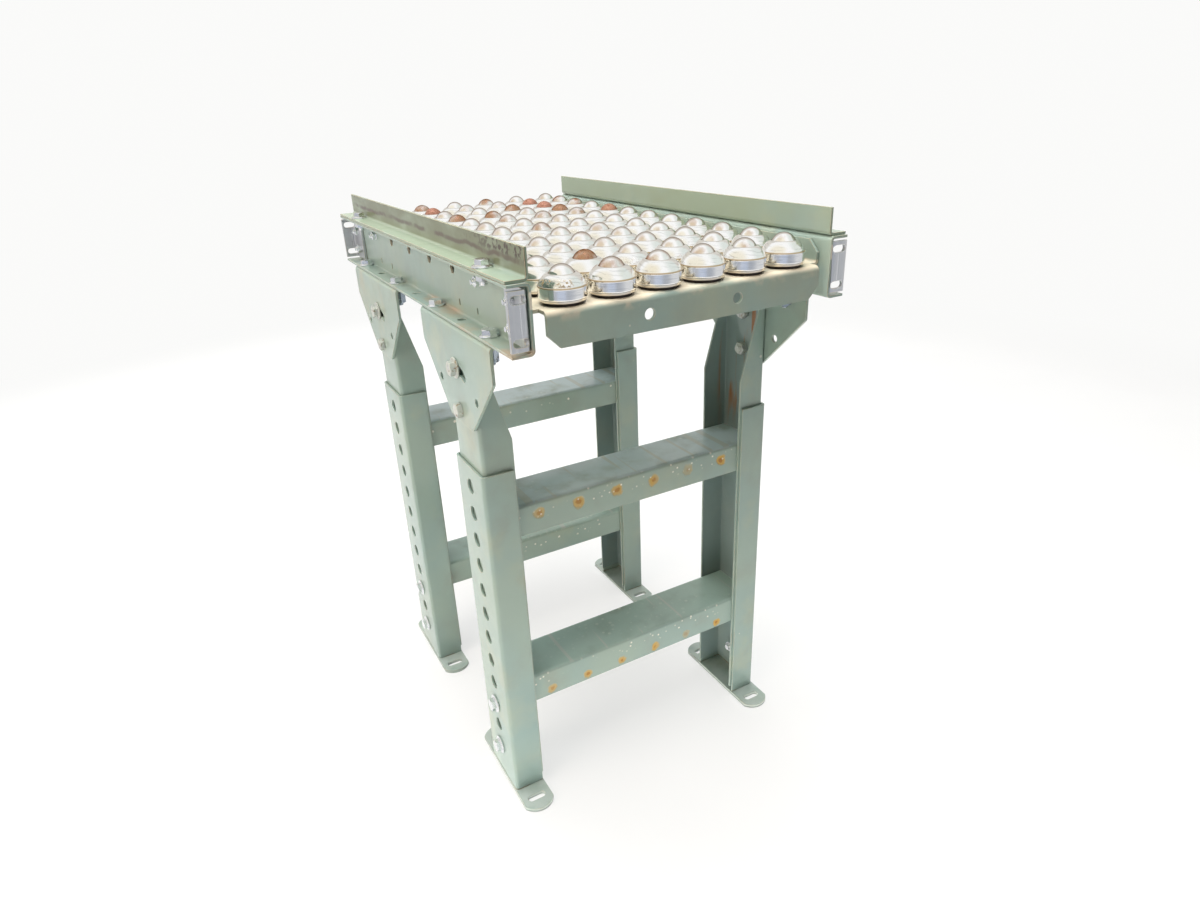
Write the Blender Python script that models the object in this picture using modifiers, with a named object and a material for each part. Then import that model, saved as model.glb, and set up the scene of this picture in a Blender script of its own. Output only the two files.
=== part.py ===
"""Ball transfer table: a bed of steel balls in cups, on two height-adjustable tilting supports.

Metres, +Z up. The origin is on the floor under the middle of the bed, X runs across the bed and Y along it.
"""

import math

import bmesh
import bpy
from mathutils import Matrix, Vector

for stale in list(bpy.data.objects):
    bpy.data.objects.remove(stale, do_unlink=True)

# Sheet thicknesses and the clearances between pieces
RAIL_GAUGE = 0.0027
GUARD_GAUGE = 0.0027
BED_GAUGE = 0.0034
LEG_GAUGE = 0.0027
BRACKET_GAUGE = 0.0034
COUPLING_GAUGE = 0.0034
FOOT_THICKNESS = 0.0048
SEAT_GAP = 0.0003
SLIDE_GAP = 0.0005
WELD_DEPTH = 0.001
INSIDE_BEND = 0.0022
BEND_STEPS = 3

# Ball grid and the ball transfer units
BALL_PITCH = 0.0508
ROLLING_ROWS = 3
BALL_DIAMETER = 0.0254
BALL_STAND = 0.0343
BALL_CLEARANCE = 0.0003
BALL_SEGMENTS = 10
BALL_RINGS = 6
CUP_DIAMETER = 0.0444
CUP_BAND_HEIGHT = 0.0157
CUP_SHOULDER_DIAMETER = 0.037
CUP_SHOULDER_HEIGHT = 0.0222
CUP_RIM_HEIGHT = 0.0267
CUP_SIDES = 10

# Side rails, their end couplings and the guard rails
RAIL_LENGTH = 0.6096
RAIL_HEIGHT = 0.0635
RAIL_FLANGE = 0.0222
BETWEEN_RAILS = 0.3366
AXLE_HOLE_FLATS = 0.0115
AXLE_HOLE_PITCH = 0.0762
AXLE_HOLE_END_MARGIN = 0.03
AXLE_HOLE_BELOW_TOP = 0.0155
FLANGE_HOLE_DIAMETER = 0.009
GUARD_HEIGHT = 0.0283
GUARD_END_SETBACK = 0.003
COUPLING_LEG = 0.045
COUPLING_SLOT_LENGTH = 0.0125
COUPLING_SLOT_WIDTH = 0.0075
COUPLING_SLOT_INSET = 0.008

# Bed plate
BED_RISE = 0.036
BED_END_SETBACK = 0.0013
BED_END_FLANGE = 0.034
BED_FLANGE_INSET = 0.0125
BED_SIDE_FLANGE = 0.023
BED_SIDE_SETBACK = 0.0158
BED_CLIP = 0.0125
BED_HOLE_DIAMETER = 0.0111
BED_HOLE_SPACING = 0.1016
BED_HOLE_DROP = 0.018

# Supports: outer legs on feet, inner uprights, cross braces
SUPPORT_SPACING = 0.3048
LEG_DEPTH = 0.081
LEG_FLANGE = 0.037
LEG_HEIGHT = 0.445
LEG_HOLE_PITCH = 0.034
LEG_HOLE_TOP_MARGIN = 0.012
LEG_FIRST_HOLE = 0.0455
LEG_HOLE_DIAMETER = 0.0175
CLAMP_HOLES = (0, 2)
FOOT_TONGUE = 0.0405
FOOT_ARC_RISE = 0.0115
FOOT_LIP = 0.0008
FOOT_SLOT_LENGTH = 0.023
FOOT_SLOT_WIDTH = 0.009
FOOT_SLOT_INSET = 0.02
UPRIGHT_FLANGE = 0.0363
UPRIGHT_FOOT_GAP = 0.0095
UPRIGHT_TO_PIVOT = 0.5005
UPRIGHT_ABOVE_PIVOT = 0.07
UPRIGHT_TAPER = 0.1
UPRIGHT_TOP_FLANGE = 0.008
BRACE_FLANGE = 0.038
UPPER_BRACE_RISE = 0.388
LOWER_BRACE_RISE = 0.153

# Pivot brackets and their bolts
PIVOT_DROP = 0.0922
BRACKET_OVERHANG = 0.0014
BRACKET_FLANGE = 0.0255
BRACKET_WIDTH = 0.204
BRACKET_SIDE = 0.037
BRACKET_TIP_WIDTH = 0.063
BRACKET_TIP_DROP = 0.0145
BRACKET_HOLE_SPREAD = 0.0525
BRACKET_HOLE_RISE = 0.023
BRACKET_HOLE_DIAMETER = 0.009
ARC_RADIUS = 0.0465
ARC_HALF_ANGLE = 27
BOLT_DIAMETER = 0.0095
BOLT_CLEARANCE = 0.0008
HEX_FLATS = 0.0143
HEX_HEAD_HEIGHT = 0.006
NUT_HEIGHT = 0.0075
WASHER_DIAMETER = 0.0225
WASHER_THICKNESS = 0.002
BOLT_FLANGE_DIAMETER = 0.023
BOLT_FLANGE_THICKNESS = 0.002
BOLT_SIDES = 10

# Heights, from the floor up
upright_bottom = FOOT_THICKNESS + UPRIGHT_FOOT_GAP
pivot_z = upright_bottom + UPRIGHT_TO_PIVOT
upright_top = pivot_z + UPRIGHT_ABOVE_PIVOT
rail_bottom = pivot_z + PIVOT_DROP
rail_top = rail_bottom + RAIL_HEIGHT
bed_top = rail_bottom + BED_RISE
ball_radius = BALL_DIAMETER / 2
ball_z = bed_top + BALL_STAND - ball_radius

# Distances from the table's middle plane, on the +X side
web_inner = BETWEEN_RAILS / 2
rail_outer = web_inner + RAIL_FLANGE
bracket_outer = rail_outer + BRACKET_OVERHANG
upright_outer = bracket_outer - BRACKET_GAUGE - SEAT_GAP
leg_outer = upright_outer + SLIDE_GAP + LEG_GAUGE
upright_depth = LEG_DEPTH - 2 * LEG_GAUGE - 2 * SLIDE_GAP
ball_rows = int(RAIL_LENGTH / BALL_PITCH + 0.001)
ball_columns = int(BETWEEN_RAILS / BALL_PITCH)
clamp_heights = [FOOT_THICKNESS + LEG_FIRST_HOLE + LEG_HOLE_PITCH * hole for hole in CLAMP_HOLES]

SIDES = {"left": -1, "right": 1}
ENDS = {"front": -1, "rear": 1}

table = bpy.data.collections.new("ball_transfer_table")
helpers = bpy.data.collections.new("cutters_and_joins")
bpy.context.scene.collection.children.link(table)
bpy.context.scene.collection.children.link(helpers)


def finish(name, colour, roughness, metallic):
    """A plain Principled material."""
    made = bpy.data.materials.new(name)
    made.use_nodes = True
    shader = made.node_tree.nodes["Principled BSDF"]
    shader.inputs["Base Color"].default_value = (*colour, 1)
    shader.inputs["Roughness"].default_value = roughness
    shader.inputs["Metallic"].default_value = metallic
    return made


GREEN_PAINT = finish("green_paint", (0.27, 0.33, 0.28), 0.45, 0.0)
ZINC = finish("zinc_plate", (0.62, 0.62, 0.60), 0.3, 1.0)
BALL_STEEL = finish("ball_steel", (0.66, 0.63, 0.60), 0.12, 1.0)


def part(name, mesh, material):
    """A named part of the table, in the table's own coordinates."""
    made = bpy.data.objects.new(name, mesh)
    mesh.name = name
    mesh.materials.clear()
    mesh.materials.append(material)
    table.objects.link(made)
    return made


def helper(name, shapes):
    """A hidden object that cuts a part or is joined to it."""
    mesh = bpy.data.meshes.new(name)
    shapes.to_mesh(mesh)
    shapes.free()
    made = bpy.data.objects.new(name, mesh)
    helpers.objects.link(made)
    made.hide_render = True
    made.display_type = "WIRE"
    return made


def boolean(target, operation, other):
    """Adds an exact Boolean to a part."""
    modifier = target.modifiers.new(other.name, "BOOLEAN")
    modifier.operation = operation
    modifier.solver = "EXACT"
    modifier.object = other


def pivot(name, place):
    """An empty on a joint's axis, which carries the pieces that turn there."""
    made = bpy.data.objects.new(name, None)
    made.empty_display_size = 0.03
    made.location = place
    table.objects.link(made)
    return made


def seat(made, origin, parent):
    """Moves a part's origin to a place in the table, and hangs the part on an empty."""
    origin = Vector(origin)
    made.data.transform(Matrix.Translation(-origin))
    made.parent = parent
    made.location = origin - parent.location


def rounded(corners, radius):
    """A polyline with an arc of the bend radius at each inner corner."""
    points = [Vector(corners[0])]
    for before, at, after in zip(corners, corners[1:], corners[2:]):
        at = Vector(at)
        back = (Vector(before) - at).normalized()
        on = (Vector(after) - at).normalized()
        half = back.angle(on) / 2
        centre = at + (back + on).normalized() * radius / math.sin(half)
        start = at + back * radius / math.tan(half) - centre
        end = at + on * radius / math.tan(half) - centre
        for step in range(BEND_STEPS + 1):
            points.append(centre + start.slerp(end, step / BEND_STEPS) * radius)
    points.append(Vector(corners[-1]))
    return points


def folded_sheet(name, corners, inside, axis, start, end, gauge, material):
    """A sheet bent along an outer profile and run along an axis, its thickness towards the inside point."""
    places = {
        "X": lambda point, along: (along, point[0], point[1]),
        "Y": lambda point, along: (point[0], along, point[1]),
        "Z": lambda point, along: (point[0], point[1], along),
    }[axis]
    shell = bmesh.new()
    profile = rounded([(*corner, 0) for corner in corners], gauge + INSIDE_BEND)
    line = [shell.verts.new(places(point, start)) for point in profile]
    edges = [shell.edges.new(pair) for pair in zip(line, line[1:])]
    grown = bmesh.ops.extrude_edge_only(shell, edges=edges)["geom"]
    run = Vector(places((0, 0), end)) - Vector(places((0, 0), start))
    moved = [item for item in grown if isinstance(item, bmesh.types.BMVert)]
    bmesh.ops.translate(shell, verts=moved, vec=run)
    shell.normal_update()
    first = shell.faces[:][0]
    towards = Vector(places(inside, (start + end) / 2)) - first.calc_center_median()
    if first.normal.dot(towards) > 0:
        bmesh.ops.reverse_faces(shell, faces=shell.faces[:])
    mesh = bpy.data.meshes.new(name)
    shell.to_mesh(mesh)
    shell.free()
    made = part(name, mesh, material)
    wall = made.modifiers.new("gauge", "SOLIDIFY")
    wall.thickness = gauge
    wall.offset = -1
    wall.use_even_offset = True
    return made


TURNS = {
    "X": Matrix.Rotation(math.pi / 2, 4, "Y"),
    "Y": Matrix.Rotation(-math.pi / 2, 4, "X"),
    "Z": Matrix.Identity(4),
}


def add_round(shapes, place, axis, diameter, depth, sides, spin=0.0):
    """Adds a cylinder or prism along an axis, turned by a spin in degrees, and returns its points."""
    turn = TURNS[axis] @ Matrix.Rotation(math.radians(spin), 4, "Z")
    made = bmesh.ops.create_cone(
        shapes,
        cap_ends=True,
        segments=sides,
        radius1=diameter / 2,
        radius2=diameter / 2,
        depth=depth,
        matrix=Matrix.Translation(place) @ turn,
    )
    return made["verts"]


def add_slot(shapes, place, axis, along, length, width, depth):
    """Adds a round-ended slot: a cylinder whose two halves are drawn apart along an axis."""
    sides = 8
    points = add_round(shapes, place, axis, width, depth, sides, 180 / sides)
    direction = "XYZ".index(along)
    for point in points:
        half = (length - width) / 2
        point.co[direction] += half if point.co[direction] > place[direction] else -half


def add_trim(shapes, start, end, away, reach, width):
    """Adds a box with one face on the line from start to end, reaching away from the part that is kept."""
    start = Vector(start)
    end = Vector(end)
    along = (end - start).normalized()
    out = Vector(away) - start
    out = (out - along * out.dot(along)).normalized()
    across = along.cross(out)
    turn = Matrix((along, out, across)).transposed().to_4x4()
    size = Matrix.Diagonal(((end - start).length + 2 * reach, reach, width, 1))
    middle = (start + end) / 2 + out * reach / 2
    bmesh.ops.create_cube(shapes, size=1, matrix=Matrix.Translation(middle) @ turn @ size)


def made_mesh(source):
    """The evaluated mesh of a temporary object, with its loose caps welded, and the object removed."""
    bpy.context.view_layer.update()
    mesh = bpy.data.meshes.new_from_object(source.evaluated_get(bpy.context.evaluated_depsgraph_get()))
    bpy.data.objects.remove(source, do_unlink=True)
    welded = bmesh.new()
    welded.from_mesh(mesh)
    bmesh.ops.remove_doubles(welded, verts=welded.verts[:], dist=1e-6)
    welded.to_mesh(mesh)
    welded.free()
    return mesh


def turned_mesh(profile, sides):
    """A profile of (radius, height) points, from the top down its outer side, turned about Z."""
    mesh = bpy.data.meshes.new("profile")
    points = [(radius, 0, height) for radius, height in profile]
    mesh.from_pydata(points, [(i, i + 1) for i in range(len(points) - 1)], [])
    source = bpy.data.objects.new("profile", mesh)
    helpers.objects.link(source)
    screw = source.modifiers.new("turn", "SCREW")
    screw.axis = "Z"
    screw.angle = 2 * math.pi
    screw.steps = sides
    screw.render_steps = sides
    screw.use_merge_vertices = True
    screw.merge_threshold = 1e-6
    return made_mesh(source)


def flat_mesh(outline, thickness):
    """A flat outline in XY, with its thickness about Z = 0."""
    curve = bpy.data.curves.new("outline", "CURVE")
    curve.dimensions = "2D"
    curve.fill_mode = "BOTH"
    curve.extrude = thickness / 2
    spline = curve.splines.new("POLY")
    spline.points.add(len(outline) - 1)
    for point, (x, y) in zip(spline.points, outline):
        point.co = (x, y, 0, 1)
    spline.use_cyclic_u = True
    source = bpy.data.objects.new("outline", curve)
    helpers.objects.link(source)
    return made_mesh(source)


def add_copy(shapes, mesh, place):
    """Adds a moved copy of a mesh."""
    known = len(shapes.verts)
    shapes.from_mesh(mesh)
    shapes.verts.ensure_lookup_table()
    bmesh.ops.translate(shapes, verts=shapes.verts[known:], vec=place)


def ball_place(row, column):
    """A ball's centre."""
    x = (column - (ball_columns - 1) / 2) * BALL_PITCH
    y = (row - (ball_rows - 1) / 2) * BALL_PITCH
    return Vector((x, y, ball_z))


def cup_profiles():
    """The turned profiles of a cup with an open socket, and of one with its ball joined in."""
    corner = 1 / math.cos(math.pi / CUP_SIDES)
    ball_height = BALL_STAND - ball_radius
    rim_radius = math.sqrt(ball_radius**2 - (CUP_RIM_HEIGHT - ball_height) ** 2)
    outside = [
        (CUP_SHOULDER_DIAMETER / 2, CUP_SHOULDER_HEIGHT),
        (CUP_DIAMETER / 2, CUP_BAND_HEIGHT),
        (CUP_DIAMETER / 2, -BED_GAUGE / 2),
        (0, -BED_GAUGE / 2),
    ]
    belly = (ball_radius + 2 * BALL_CLEARANCE) * corner
    floor_radius = 0.94 * ball_radius * corner
    floor_height = BALL_STAND - BALL_DIAMETER - BALL_CLEARANCE
    socket = [
        (0, floor_height),
        (floor_radius, floor_height),
        (belly, ball_height + 0.3 * (CUP_RIM_HEIGHT - ball_height)),
        ((rim_radius + BALL_CLEARANCE) * corner, CUP_RIM_HEIGHT),
    ]
    crown_radius = 0.65 * rim_radius
    crown = ball_height + math.sqrt(ball_radius**2 - crown_radius**2)
    dome = [(0, BALL_STAND), (crown_radius, crown), (rim_radius, CUP_RIM_HEIGHT)]
    return socket + outside, dome + outside


def build_bed_plate():
    """The bed: a plate with ends folded down and sides folded up, and the cups fixed on it."""
    end = RAIL_LENGTH / 2 - BED_END_SETBACK
    flange_half = web_inner - BED_FLANGE_INSET
    low = bed_top - BED_END_FLANGE
    side = web_inner - SEAT_GAP
    side_end = RAIL_LENGTH / 2 - BED_SIDE_SETBACK
    high = bed_top + BED_SIDE_FLANGE
    bed = folded_sheet(
        "bed_plate",
        [(-end, low), (-end, bed_top), (end, bed_top), (end, low)],
        (0, low),
        "X",
        -flange_half,
        flange_half,
        BED_GAUGE,
        GREEN_PAINT,
    )
    underside = bed_top - BED_GAUGE
    sides = folded_sheet(
        "bed_sides",
        [(-side, high), (-side, underside), (side, underside), (side, high)],
        (0, high),
        "Y",
        -side_end,
        side_end,
        BED_GAUGE,
        GREEN_PAINT,
    )
    table.objects.unlink(sides)
    helpers.objects.link(sides)
    sides.hide_render = True
    sides.display_type = "WIRE"
    boolean(bed, "UNION", sides)
    open_profile, closed_profile = cup_profiles()
    open_cup = turned_mesh(open_profile, CUP_SIDES)
    closed_cup = turned_mesh(closed_profile, CUP_SIDES)
    cups = bmesh.new()
    for row in range(ball_rows):
        for column in range(ball_columns):
            centre = ball_place(row, column)
            cup = open_cup if row < ROLLING_ROWS else closed_cup
            add_copy(cups, cup, (centre.x, centre.y, bed_top))
    boolean(bed, "UNION", helper("cups", cups))
    cuts = bmesh.new()
    wide = 4 * BED_GAUGE
    for y_sign in ENDS.values():
        y = y_sign * (end - BED_GAUGE / 2)
        for x_sign in SIDES.values():
            place = (x_sign * BED_HOLE_SPACING / 2, y, bed_top - BED_HOLE_DROP)
            add_round(cuts, place, "Y", BED_HOLE_DIAMETER, wide, BOLT_SIDES)
            corner = Vector((x_sign * flange_half, y, low))
            start = corner + Vector((0, 0, BED_CLIP))
            stop = corner - Vector((x_sign * BED_CLIP, 0, 0))
            add_trim(cuts, start, stop, corner, BED_CLIP, wide)
            corner = Vector((x_sign * (side - BED_GAUGE / 2), y_sign * side_end, high))
            start = corner - Vector((0, 0, BED_CLIP))
            stop = corner - Vector((0, y_sign * BED_CLIP, 0))
            add_trim(cuts, start, stop, corner, BED_CLIP, wide)
    boolean(bed, "DIFFERENCE", helper("bed_cuts", cuts))


def build_balls():
    """The load balls of the front rows, each loose in its cup."""
    for row in range(ROLLING_ROWS):
        for column in range(ball_columns):
            shapes = bmesh.new()
            bmesh.ops.create_uvsphere(
                shapes, u_segments=BALL_SEGMENTS, v_segments=BALL_RINGS, radius=ball_radius
            )
            name = f"ball_r{row + 1}_c{column + 1}"
            mesh = bpy.data.meshes.new(name)
            shapes.to_mesh(mesh)
            shapes.free()
            mesh.shade_smooth()
            part(name, mesh, BALL_STEEL).location = ball_place(row, column)


def build_rail(side, sign):
    """A side rail: a channel with its web towards the bed, punched for roller axles and for its bolts."""
    rail = folded_sheet(
        f"rail_{side}",
        [
            (sign * rail_outer, rail_bottom),
            (sign * web_inner, rail_bottom),
            (sign * web_inner, rail_top),
            (sign * rail_outer, rail_top),
        ],
        (sign * rail_outer, (rail_bottom + rail_top) / 2),
        "Y",
        -RAIL_LENGTH / 2,
        RAIL_LENGTH / 2,
        RAIL_GAUGE,
        GREEN_PAINT,
    )
    cuts = bmesh.new()
    web_x = sign * (web_inner + RAIL_GAUGE / 2)
    half_run = RAIL_LENGTH / 2 - AXLE_HOLE_PITCH / 2 - AXLE_HOLE_END_MARGIN
    holes = 2 * (int(half_run / AXLE_HOLE_PITCH) + 1)
    for hole in range(holes):
        y = (hole - (holes - 1) / 2) * AXLE_HOLE_PITCH
        corners = AXLE_HOLE_FLATS / math.cos(math.pi / 6)
        place = (web_x, y, rail_top - AXLE_HOLE_BELOW_TOP)
        add_round(cuts, place, "X", corners, 4 * RAIL_GAUGE, 6)
    flange_x = sign * (web_inner + rail_outer) / 2
    for y in (-SUPPORT_SPACING / 2, 0, SUPPORT_SPACING / 2):
        place = (flange_x, y, rail_bottom + RAIL_GAUGE / 2)
        add_round(cuts, place, "Z", FLANGE_HOLE_DIAMETER, 4 * RAIL_GAUGE, BOLT_SIDES)
    boolean(rail, "DIFFERENCE", helper(f"rail_{side}_cuts", cuts))


def build_guard(side, sign):
    """A guard rail: an angle that lies on the rail's top flange and stands up along the bed."""
    seat_z = rail_top + SEAT_GAP
    inner = sign * web_inner
    outer = sign * rail_outer
    end = RAIL_LENGTH / 2 - GUARD_END_SETBACK
    folded_sheet(
        f"guard_{side}",
        [(outer, seat_z), (inner, seat_z), (inner, seat_z + GUARD_HEIGHT)],
        (outer, seat_z + GUARD_HEIGHT),
        "Y",
        -end,
        end,
        GUARD_GAUGE,
        GREEN_PAINT,
    )


def build_coupling(end, y_sign, side, sign):
    """An end coupling: an angle inside the rail's end, whose slotted face butts against the next bed."""
    face = y_sign * RAIL_LENGTH / 2
    web = sign * (web_inner + RAIL_GAUGE + SEAT_GAP)
    edge = sign * rail_outer
    low = rail_bottom + RAIL_GAUGE + INSIDE_BEND + SEAT_GAP
    high = rail_top - RAIL_GAUGE - INSIDE_BEND - SEAT_GAP
    back = face - y_sign * COUPLING_LEG
    coupling = folded_sheet(
        f"coupling_{end}_{side}",
        [(edge, face), (web, face), (web, back)],
        (edge, back),
        "Z",
        low,
        high,
        COUPLING_GAUGE,
        ZINC,
    )
    cuts = bmesh.new()
    x = (web + edge) / 2 + sign * COUPLING_GAUGE / 4
    for z in (low + COUPLING_SLOT_INSET, high - COUPLING_SLOT_INSET):
        place = (x, face - y_sign * COUPLING_GAUGE / 2, z)
        add_slot(cuts, place, "Y", "X", COUPLING_SLOT_LENGTH, COUPLING_SLOT_WIDTH, 4 * COUPLING_GAUGE)
    boolean(coupling, "DIFFERENCE", helper(f"coupling_{end}_{side}_cuts", cuts))


def add_arc_slot(shapes, centre, radius, half_angle, width, depth):
    """Adds a curved slot in a plane across X: a thick arc with square ends."""
    steps = 8
    inner = []
    outer = []
    for step in range(steps + 1):
        angle = math.radians(half_angle) * (2 * step / steps - 1)
        way = Vector((0, math.sin(angle), math.cos(angle)))
        inner.append(centre + way * (radius - width / 2))
        outer.append(centre + way * (radius + width / 2))
    outline = [(point.y, point.z) for point in inner + outer[::-1]]
    mesh = flat_mesh(outline, depth)
    swap = Matrix(((0, 0, 1, 0), (1, 0, 0, 0), (0, 1, 0, 0), (0, 0, 0, 1)))
    mesh.transform(Matrix.Translation((centre.x, 0, 0)) @ swap)
    shapes.from_mesh(mesh)


def build_bracket(end, y_sign, side, sign):
    """A pivot bracket: bolted under the rail, with a pivot hole and an arc slot for the locking bolt."""
    y = y_sign * SUPPORT_SPACING / 2
    top = rail_bottom - SEAT_GAP
    tip = pivot_z - BRACKET_TIP_DROP
    outer = sign * bracket_outer
    half = BRACKET_WIDTH / 2
    bracket = folded_sheet(
        f"bracket_{end}_{side}",
        [(outer - sign * BRACKET_FLANGE, top), (outer, top), (outer, tip)],
        (outer - sign * BRACKET_FLANGE, tip),
        "Y",
        y - half,
        y + half,
        BRACKET_GAUGE,
        GREEN_PAINT,
    )
    plate_x = outer - sign * BRACKET_GAUGE / 2
    wide = 4 * BRACKET_GAUGE
    cuts = bmesh.new()
    hole = BOLT_DIAMETER + 2 * BOLT_CLEARANCE
    add_round(cuts, (plate_x, y, pivot_z), "X", hole, wide, BOLT_SIDES)
    reach = ARC_HALF_ANGLE + math.degrees(hole / 2 / ARC_RADIUS)
    add_arc_slot(cuts, Vector((plate_x, y, pivot_z)), ARC_RADIUS, reach, hole, wide)
    for hole_sign in ENDS.values():
        place = (plate_x, y + hole_sign * BRACKET_HOLE_SPREAD, pivot_z + BRACKET_HOLE_RISE)
        add_round(cuts, place, "X", BRACKET_HOLE_DIAMETER, wide, BOLT_SIDES)
    boolean(bracket, "DIFFERENCE", helper(f"bracket_{end}_{side}_cuts", cuts))
    trims = bmesh.new()
    for hole_sign in ENDS.values():
        start = Vector((plate_x, y + hole_sign * half, top - BRACKET_SIDE))
        stop = Vector((plate_x, y + hole_sign * BRACKET_TIP_WIDTH / 2, tip))
        away = Vector((plate_x, y + hole_sign * half, tip))
        add_trim(trims, start, stop, away, half, wide)
    boolean(bracket, "DIFFERENCE", helper(f"bracket_{end}_{side}_trims", trims))


def build_upright(end, y_sign, side, sign, carrier):
    """An upright: a channel open towards the middle, with a tapered top that takes the pivot bolt."""
    y = y_sign * SUPPORT_SPACING / 2
    outer = sign * upright_outer
    inner = outer - sign * UPRIGHT_FLANGE
    half = upright_depth / 2
    upright = folded_sheet(
        f"upright_{end}_{side}",
        [(inner, y - half), (outer, y - half), (outer, y + half), (inner, y + half)],
        (inner, y),
        "Z",
        upright_bottom,
        upright_top,
        LEG_GAUGE,
        GREEN_PAINT,
    )
    cuts = bmesh.new()
    web_x = outer - sign * LEG_GAUGE / 2
    hole = BOLT_DIAMETER + 2 * BOLT_CLEARANCE
    for z in (pivot_z, pivot_z + ARC_RADIUS):
        add_round(cuts, (web_x, y, z), "X", hole, 4 * LEG_GAUGE, BOLT_SIDES)
    for z in clamp_heights:
        add_round(cuts, (web_x, y, z), "X", hole, 4 * LEG_GAUGE, BOLT_SIDES)
    boolean(upright, "DIFFERENCE", helper(f"upright_{end}_{side}_holes", cuts))
    trim = bmesh.new()
    start = Vector((inner, y, upright_top - UPRIGHT_TAPER))
    stop = Vector((outer - sign * UPRIGHT_TOP_FLANGE, y, upright_top))
    away = Vector((inner, y, upright_top))
    add_trim(trim, start, stop, away, UPRIGHT_FLANGE, 2 * upright_depth)
    boolean(upright, "DIFFERENCE", helper(f"upright_{end}_{side}_trim", trim))
    seat(upright, (0, y, pivot_z), carrier)


def build_brace(end, y_sign, level, rise, carrier):
    """A cross brace: a channel open downwards, whose ends are welded inside the two uprights."""
    y = y_sign * SUPPORT_SPACING / 2
    half = upright_depth / 2 - LEG_GAUGE - SEAT_GAP
    top = upright_bottom + rise
    reach = upright_outer - LEG_GAUGE - INSIDE_BEND
    brace = folded_sheet(
        f"brace_{end}_{level}",
        [(y - half, top - BRACE_FLANGE), (y - half, top), (y + half, top), (y + half, top - BRACE_FLANGE)],
        (y, top - BRACE_FLANGE),
        "X",
        -reach,
        reach,
        LEG_GAUGE,
        GREEN_PAINT,
    )
    seat(brace, (0, y, pivot_z), carrier)


def foot_outline():
    """The foot plate's outline: a strip along Y whose two ends are shallow arcs."""
    half_width = LEG_FLANGE / 2 + FOOT_LIP
    end = LEG_DEPTH / 2 + FOOT_TONGUE
    radius = (half_width**2 + FOOT_ARC_RISE**2) / (2 * FOOT_ARC_RISE)
    half_angle = math.asin(half_width / radius)
    steps = 6
    outline = []
    for turn in (1, -1):
        for step in range(steps + 1):
            angle = half_angle * (1 - 2 * step / steps)
            x = turn * radius * math.sin(angle)
            y = turn * (end - radius + radius * math.cos(angle))
            outline.append((x, y))
    return outline


def build_leg(end, y_sign, side, sign, carrier):
    """A leg: a punched channel that wraps the upright and slides on it, welded to its foot plate."""
    y = y_sign * SUPPORT_SPACING / 2
    outer = sign * leg_outer
    inner = outer - sign * LEG_FLANGE
    half = LEG_DEPTH / 2
    leg = folded_sheet(
        f"leg_{end}_{side}",
        [(inner, y - half), (outer, y - half), (outer, y + half), (inner, y + half)],
        (inner, y),
        "Z",
        FOOT_THICKNESS - WELD_DEPTH,
        FOOT_THICKNESS + LEG_HEIGHT,
        LEG_GAUGE,
        GREEN_PAINT,
    )
    foot = bmesh.new()
    foot_x = (inner + outer) / 2
    add_copy(foot, flat_mesh(foot_outline(), FOOT_THICKNESS), (foot_x, y, FOOT_THICKNESS / 2))
    boolean(leg, "UNION", helper(f"foot_{end}_{side}", foot))
    cuts = bmesh.new()
    web_x = outer - sign * LEG_GAUGE / 2
    holes = int((LEG_HEIGHT - LEG_FIRST_HOLE - LEG_HOLE_TOP_MARGIN) / LEG_HOLE_PITCH) + 1
    for hole in range(holes):
        z = FOOT_THICKNESS + LEG_FIRST_HOLE + LEG_HOLE_PITCH * hole
        add_round(cuts, (web_x, y, z), "X", LEG_HOLE_DIAMETER, 4 * LEG_GAUGE, 8, 22.5)
    slot_y = half + FOOT_TONGUE - FOOT_SLOT_INSET
    for slot_sign in ENDS.values():
        place = (foot_x, y + slot_sign * slot_y, FOOT_THICKNESS / 2)
        add_slot(cuts, place, "Z", "X", FOOT_SLOT_LENGTH, FOOT_SLOT_WIDTH, 4 * FOOT_THICKNESS)
    boolean(leg, "DIFFERENCE", helper(f"leg_{end}_{side}_cuts", cuts))
    seat(leg, (foot_x, y, 0), carrier)


def add_along(start, end, y, z, sign, diameter, sides):
    """A round or six-sided bar across the table, between two distances from its middle plane."""
    shapes = bmesh.new()
    add_round(shapes, (sign * (start + end) / 2, y, z), "X", diameter, end - start, sides)
    return shapes


def build_clamp_bolt(name, y, z, sign, carrier):
    """The flanged head of a clamp bolt. It stays with the upright as the leg slides."""
    face = leg_outer + SEAT_GAP
    head_start = face + BOLT_FLANGE_THICKNESS
    flange = add_along(face, head_start, y, z, sign, BOLT_FLANGE_DIAMETER, BOLT_SIDES)
    mesh = bpy.data.meshes.new(name)
    flange.to_mesh(mesh)
    flange.free()
    bolt = part(name, mesh, ZINC)
    corners = HEX_FLATS / math.cos(math.pi / 6)
    head = add_along(face + BOLT_FLANGE_THICKNESS / 2, head_start + HEX_HEAD_HEIGHT, y, z, sign, corners, 6)
    boolean(bolt, "UNION", helper(f"{name}_head", head))
    seat(bolt, (0, y, pivot_z), carrier)


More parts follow.
